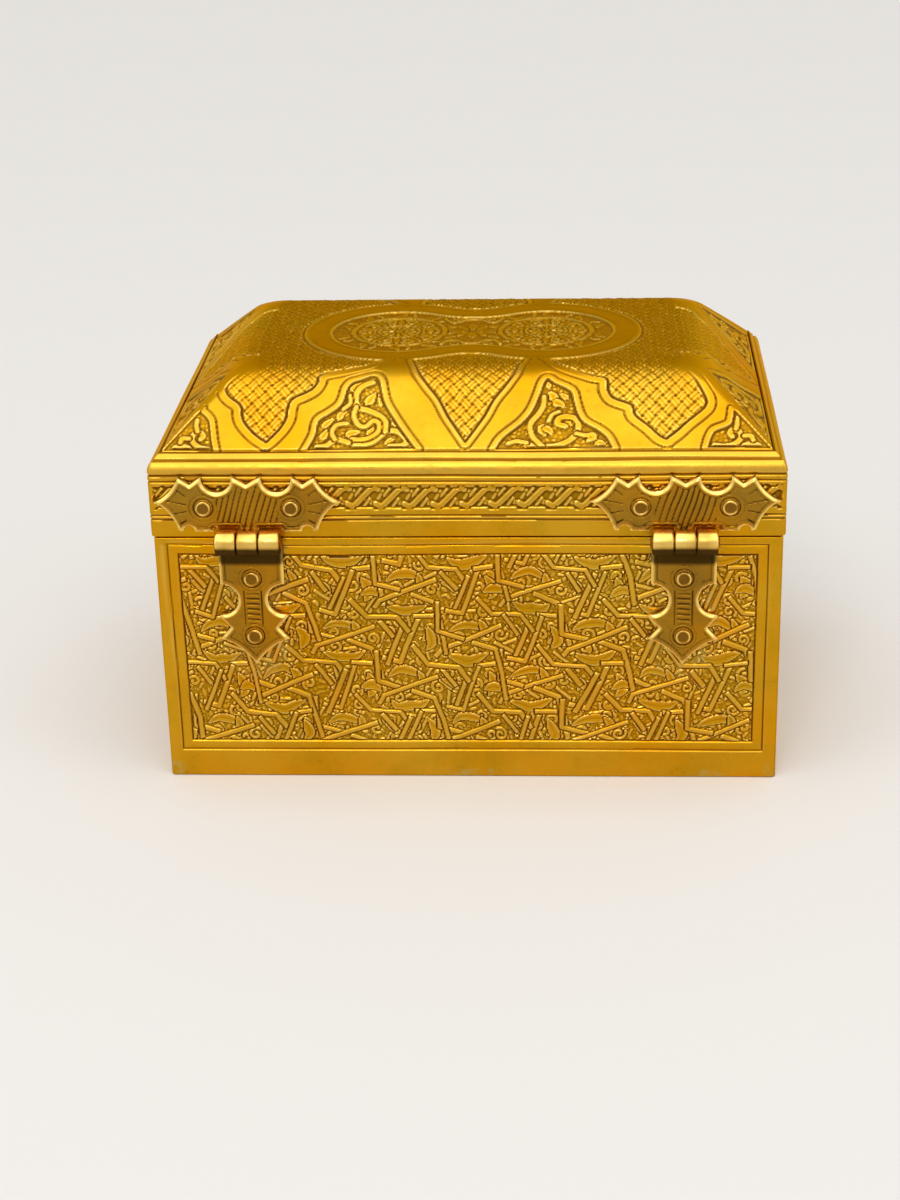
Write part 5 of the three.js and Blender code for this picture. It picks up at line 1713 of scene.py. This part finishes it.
def hasp():
    thickness, foot = HASP_PLATE["thickness"], HASP_PLATE["foot"]
    bore = HASP_PIN_RADIUS + BORE_CLEARANCE
    half = HASP_KNUCKLE_LENGTH / 2
    plate_half = half + KNUCKLE_GAP
    rise = foot + beside_barrel(HASP_KNUCKLE_RADIUS, HASP_OUT - thickness)
    lower = [(plate_half, foot), (plate_half, rise), (0, rise)]
    outline = both_halves(np.vstack([wing_half(HASP_PLATE), lower]))
    leaf = plate([outline], thickness, wing_relief(HASP_PLATE, 300))
    place = {"turn": FRONT, "distance": LID_DEPTH_HALF}
    parts = [set_on(leaf, z=LID_FOOT, **place)]
    axis = {"out": HASP_OUT, "z": LID_FOOT + foot, **place}
    for start, end in ((-HASP_BARREL_HALF, -plate_half), (plate_half, HASP_BARREL_HALF)):
        parts.append(set_on(knuckle(start, end, HASP_KNUCKLE_RADIUS, bore, 301), **axis))
    fitting("chased", "hasp_plate", "lid", "strap_brass", parts)
    pin("hasp_pin", "lid", HASP_BARREL_HALF, HASP_PIN_RADIUS, axis)
    face = TONGUE_THICKNESS / 2
    blade = plate([both_halves(tongue_half()), tongue_slot()], face, tongue_relief, back=-face)
    roll = knuckle(-half, half, HASP_KNUCKLE_RADIUS, bore, 302)
    parts = [set_on(part, swing=HASP_REST_ANGLE, **axis) for part in (blade, roll)]
    fitting("chased", "hasp_tongue", "hasp", "strap_brass", parts)


HANDS = {"left": -1, "right": 1}
for number, (name, hinge_side) in enumerate(HANDS.items()):
    centre_x = hinge_side * HINGE_X
    lid_strap(name, centre_x, 200 + 10 * number)
    body_strap(name, centre_x, 240 + 10 * number)
    axis = {"turn": REAR, "distance": LID_DEPTH_HALF, "x": centre_x, "z": LID_FOOT, "out": HINGE_OUT}
    pin(f"hinge_pin_{name}", "casket", BARREL_HALF, PIN_RADIUS, axis)
    for hand, sign in HANDS.items():
        rivet(
            f"lid_strap_rivet_{name}_{hand}", "lid", REAR, LID_DEPTH_HALF, LID_STRAP["thickness"],
            centre_x + sign * LID_STRAP["rivet_x"], LID_STRAP["rivet_z"], 260 + number,
        )
    for level, drop in BODY_STRAP["rivets"].items():
        rivet(
            f"body_strap_rivet_{name}_{level}", "casket", REAR, BODY_DEPTH_HALF, BODY_STRAP["thickness"],
            centre_x, -drop, 270 + number,
        )
hasp()
for hand, sign in HANDS.items():
    rivet(
        f"hasp_rivet_{hand}", "lid", FRONT, LID_DEPTH_HALF, HASP_PLATE["thickness"],
        -sign * HASP_PLATE["rivet_x"], HASP_PLATE["rivet_z"], 280,
    )


# CAD nodes that stay, with their edges eased and a full material


def keep_node(name, slot, width):
    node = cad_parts[name]
    node.data.materials.clear()
    node.data.materials.append(BRASS[slot])
    for key, value in (("hollow_and_shade", 0.25), ("edge", 0.0)):
        set_attribute(node.data, key, np.full(len(node.data.vertices), value))
    ease = node.modifiers.new("eased edges", "BEVEL")
    ease.width = width * MM
    ease.segments = 2
    ease.limit_method = "ANGLE"


keep_node("base_plate", "plain_brass", 0.2)
keep_node("staple", "rivet_brass", 0.18)


# Floor, light and camera


FLOOR_REACH = 6000.0
ROOM_COLOUR = (1.0, 0.985, 0.96, 1.0)
BACKDROP_COLOUR = (0.93, 0.925, 0.915, 1.0)
LAMP_TARGET = Vector((0, 0, 40))
# Place, size and power of each rectangular lamp
AREA_LAMPS = {
    "key": ((-150, -900, 850), (300, 220), 1.7),
    "left_fill": ((-620, -420, 420), (500, 400), 0.6),
    "right_fill": ((620, -300, 380), (400, 400), 0.5),
}
# The camera that was fitted to the photograph, with its three turns in radians
CAMERA_PLACE = (20.55, -416.0, 199.4)
CAMERA_YAW = -0.06233
CAMERA_PITCH = 0.40808
CAMERA_ROLL = -0.02471
CAMERA_LENS = 70.0
SENSOR_WIDTH = 36


def make_floor():
    corners = FLOOR_REACH * np.array([(-1, -1, 0), (1, -1, 0), (1, 1, 0), (-1, 1, 0)])
    mesh = make_mesh("floor", corners, [np.array([[0, 1, 2, 3]])])
    g = Graph("pale_floor")
    g.shader.inputs["Base Color"].default_value = linear(0.915, 0.91, 0.90)
    g.shader.inputs["Roughness"].default_value = 0.9
    floor = new_object("floor", mesh)
    mesh.materials.append(g.material)


def make_world():
    """A soft room. Camera, mirror and glass rays see a plain pale backdrop."""
    world = bpy.data.worlds.new("studio")
    bpy.context.scene.world = world
    world.use_nodes = True
    nodes, links = world.node_tree.nodes, world.node_tree.links
    light = nodes["Background"]
    backdrop = nodes.new("ShaderNodeBackground")
    for node, colour, strength in ((light, ROOM_COLOUR, 0.45), (backdrop, BACKDROP_COLOUR, 0.9)):
        node.inputs["Color"].default_value = colour
        node.inputs["Strength"].default_value = strength
    path = nodes.new("ShaderNodeLightPath")
    seen = path.outputs["Is Camera Ray"]
    for kind in ("Is Glossy Ray", "Is Transmission Ray"):
        either = nodes.new("ShaderNodeMath")
        either.operation = "MAXIMUM"
        links.new(seen, either.inputs[0])
        links.new(path.outputs[kind], either.inputs[1])
        seen = either.outputs[0]
    mix = nodes.new("ShaderNodeMixShader")
    links.new(seen, mix.inputs[0])
    links.new(light.outputs[0], mix.inputs[1])
    links.new(backdrop.outputs[0], mix.inputs[2])
    links.new(mix.outputs[0], nodes["World Output"].inputs[0])


def lamp(name, kind, place, way, power, **settings):
    """A lamp that shines along its way."""
    data = bpy.data.lights.new(name, kind)
    data.energy = power
    for key, value in settings.items():
        setattr(data, key, value)
    light = new_object(name, data)
    light.location = Vector(place) * MM
    light.rotation_euler = way.to_track_quat("-Z", "Y").to_euler()


def make_camera():
    yaw, pitch, roll = CAMERA_YAW, CAMERA_PITCH, CAMERA_ROLL
    right = Vector((math.cos(yaw), -math.sin(yaw), 0))
    up = Vector((math.sin(yaw) * math.sin(pitch), math.cos(yaw) * math.sin(pitch), math.cos(pitch)))
    forward = Vector((math.sin(yaw) * math.cos(pitch), math.cos(yaw) * math.cos(pitch), -math.sin(pitch)))
    rolled_right = math.cos(roll) * right + math.sin(roll) * up
    rolled_up = -math.sin(roll) * right + math.cos(roll) * up
    turn = Matrix((rolled_right, rolled_up, -forward)).transposed()
    data = bpy.data.cameras.new("camera")
    data.lens = CAMERA_LENS
    data.sensor_width = SENSOR_WIDTH
    data.clip_start, data.clip_end = 0.01, 100
    camera = new_object("camera", data)
    camera.matrix_world = Matrix.Translation(Vector(CAMERA_PLACE) * MM) @ turn.to_4x4()
    bpy.context.scene.camera = camera


make_floor()
make_world()
sun_way = Vector((0, 0.32, -0.95))
lamp("overhead", "SUN", (0, 0, 0), sun_way, 1.5, angle=math.radians(70), color=(1, 0.98, 0.95))
for name, (place, size, power) in AREA_LAMPS.items():
    lamp(
        name, "AREA", place, LAMP_TARGET - Vector(place), power,
        shape="RECTANGLE", size=size[0] * MM, size_y=size[1] * MM,
    )
make_camera()
bpy.context.scene.view_settings.view_transform = "Standard"
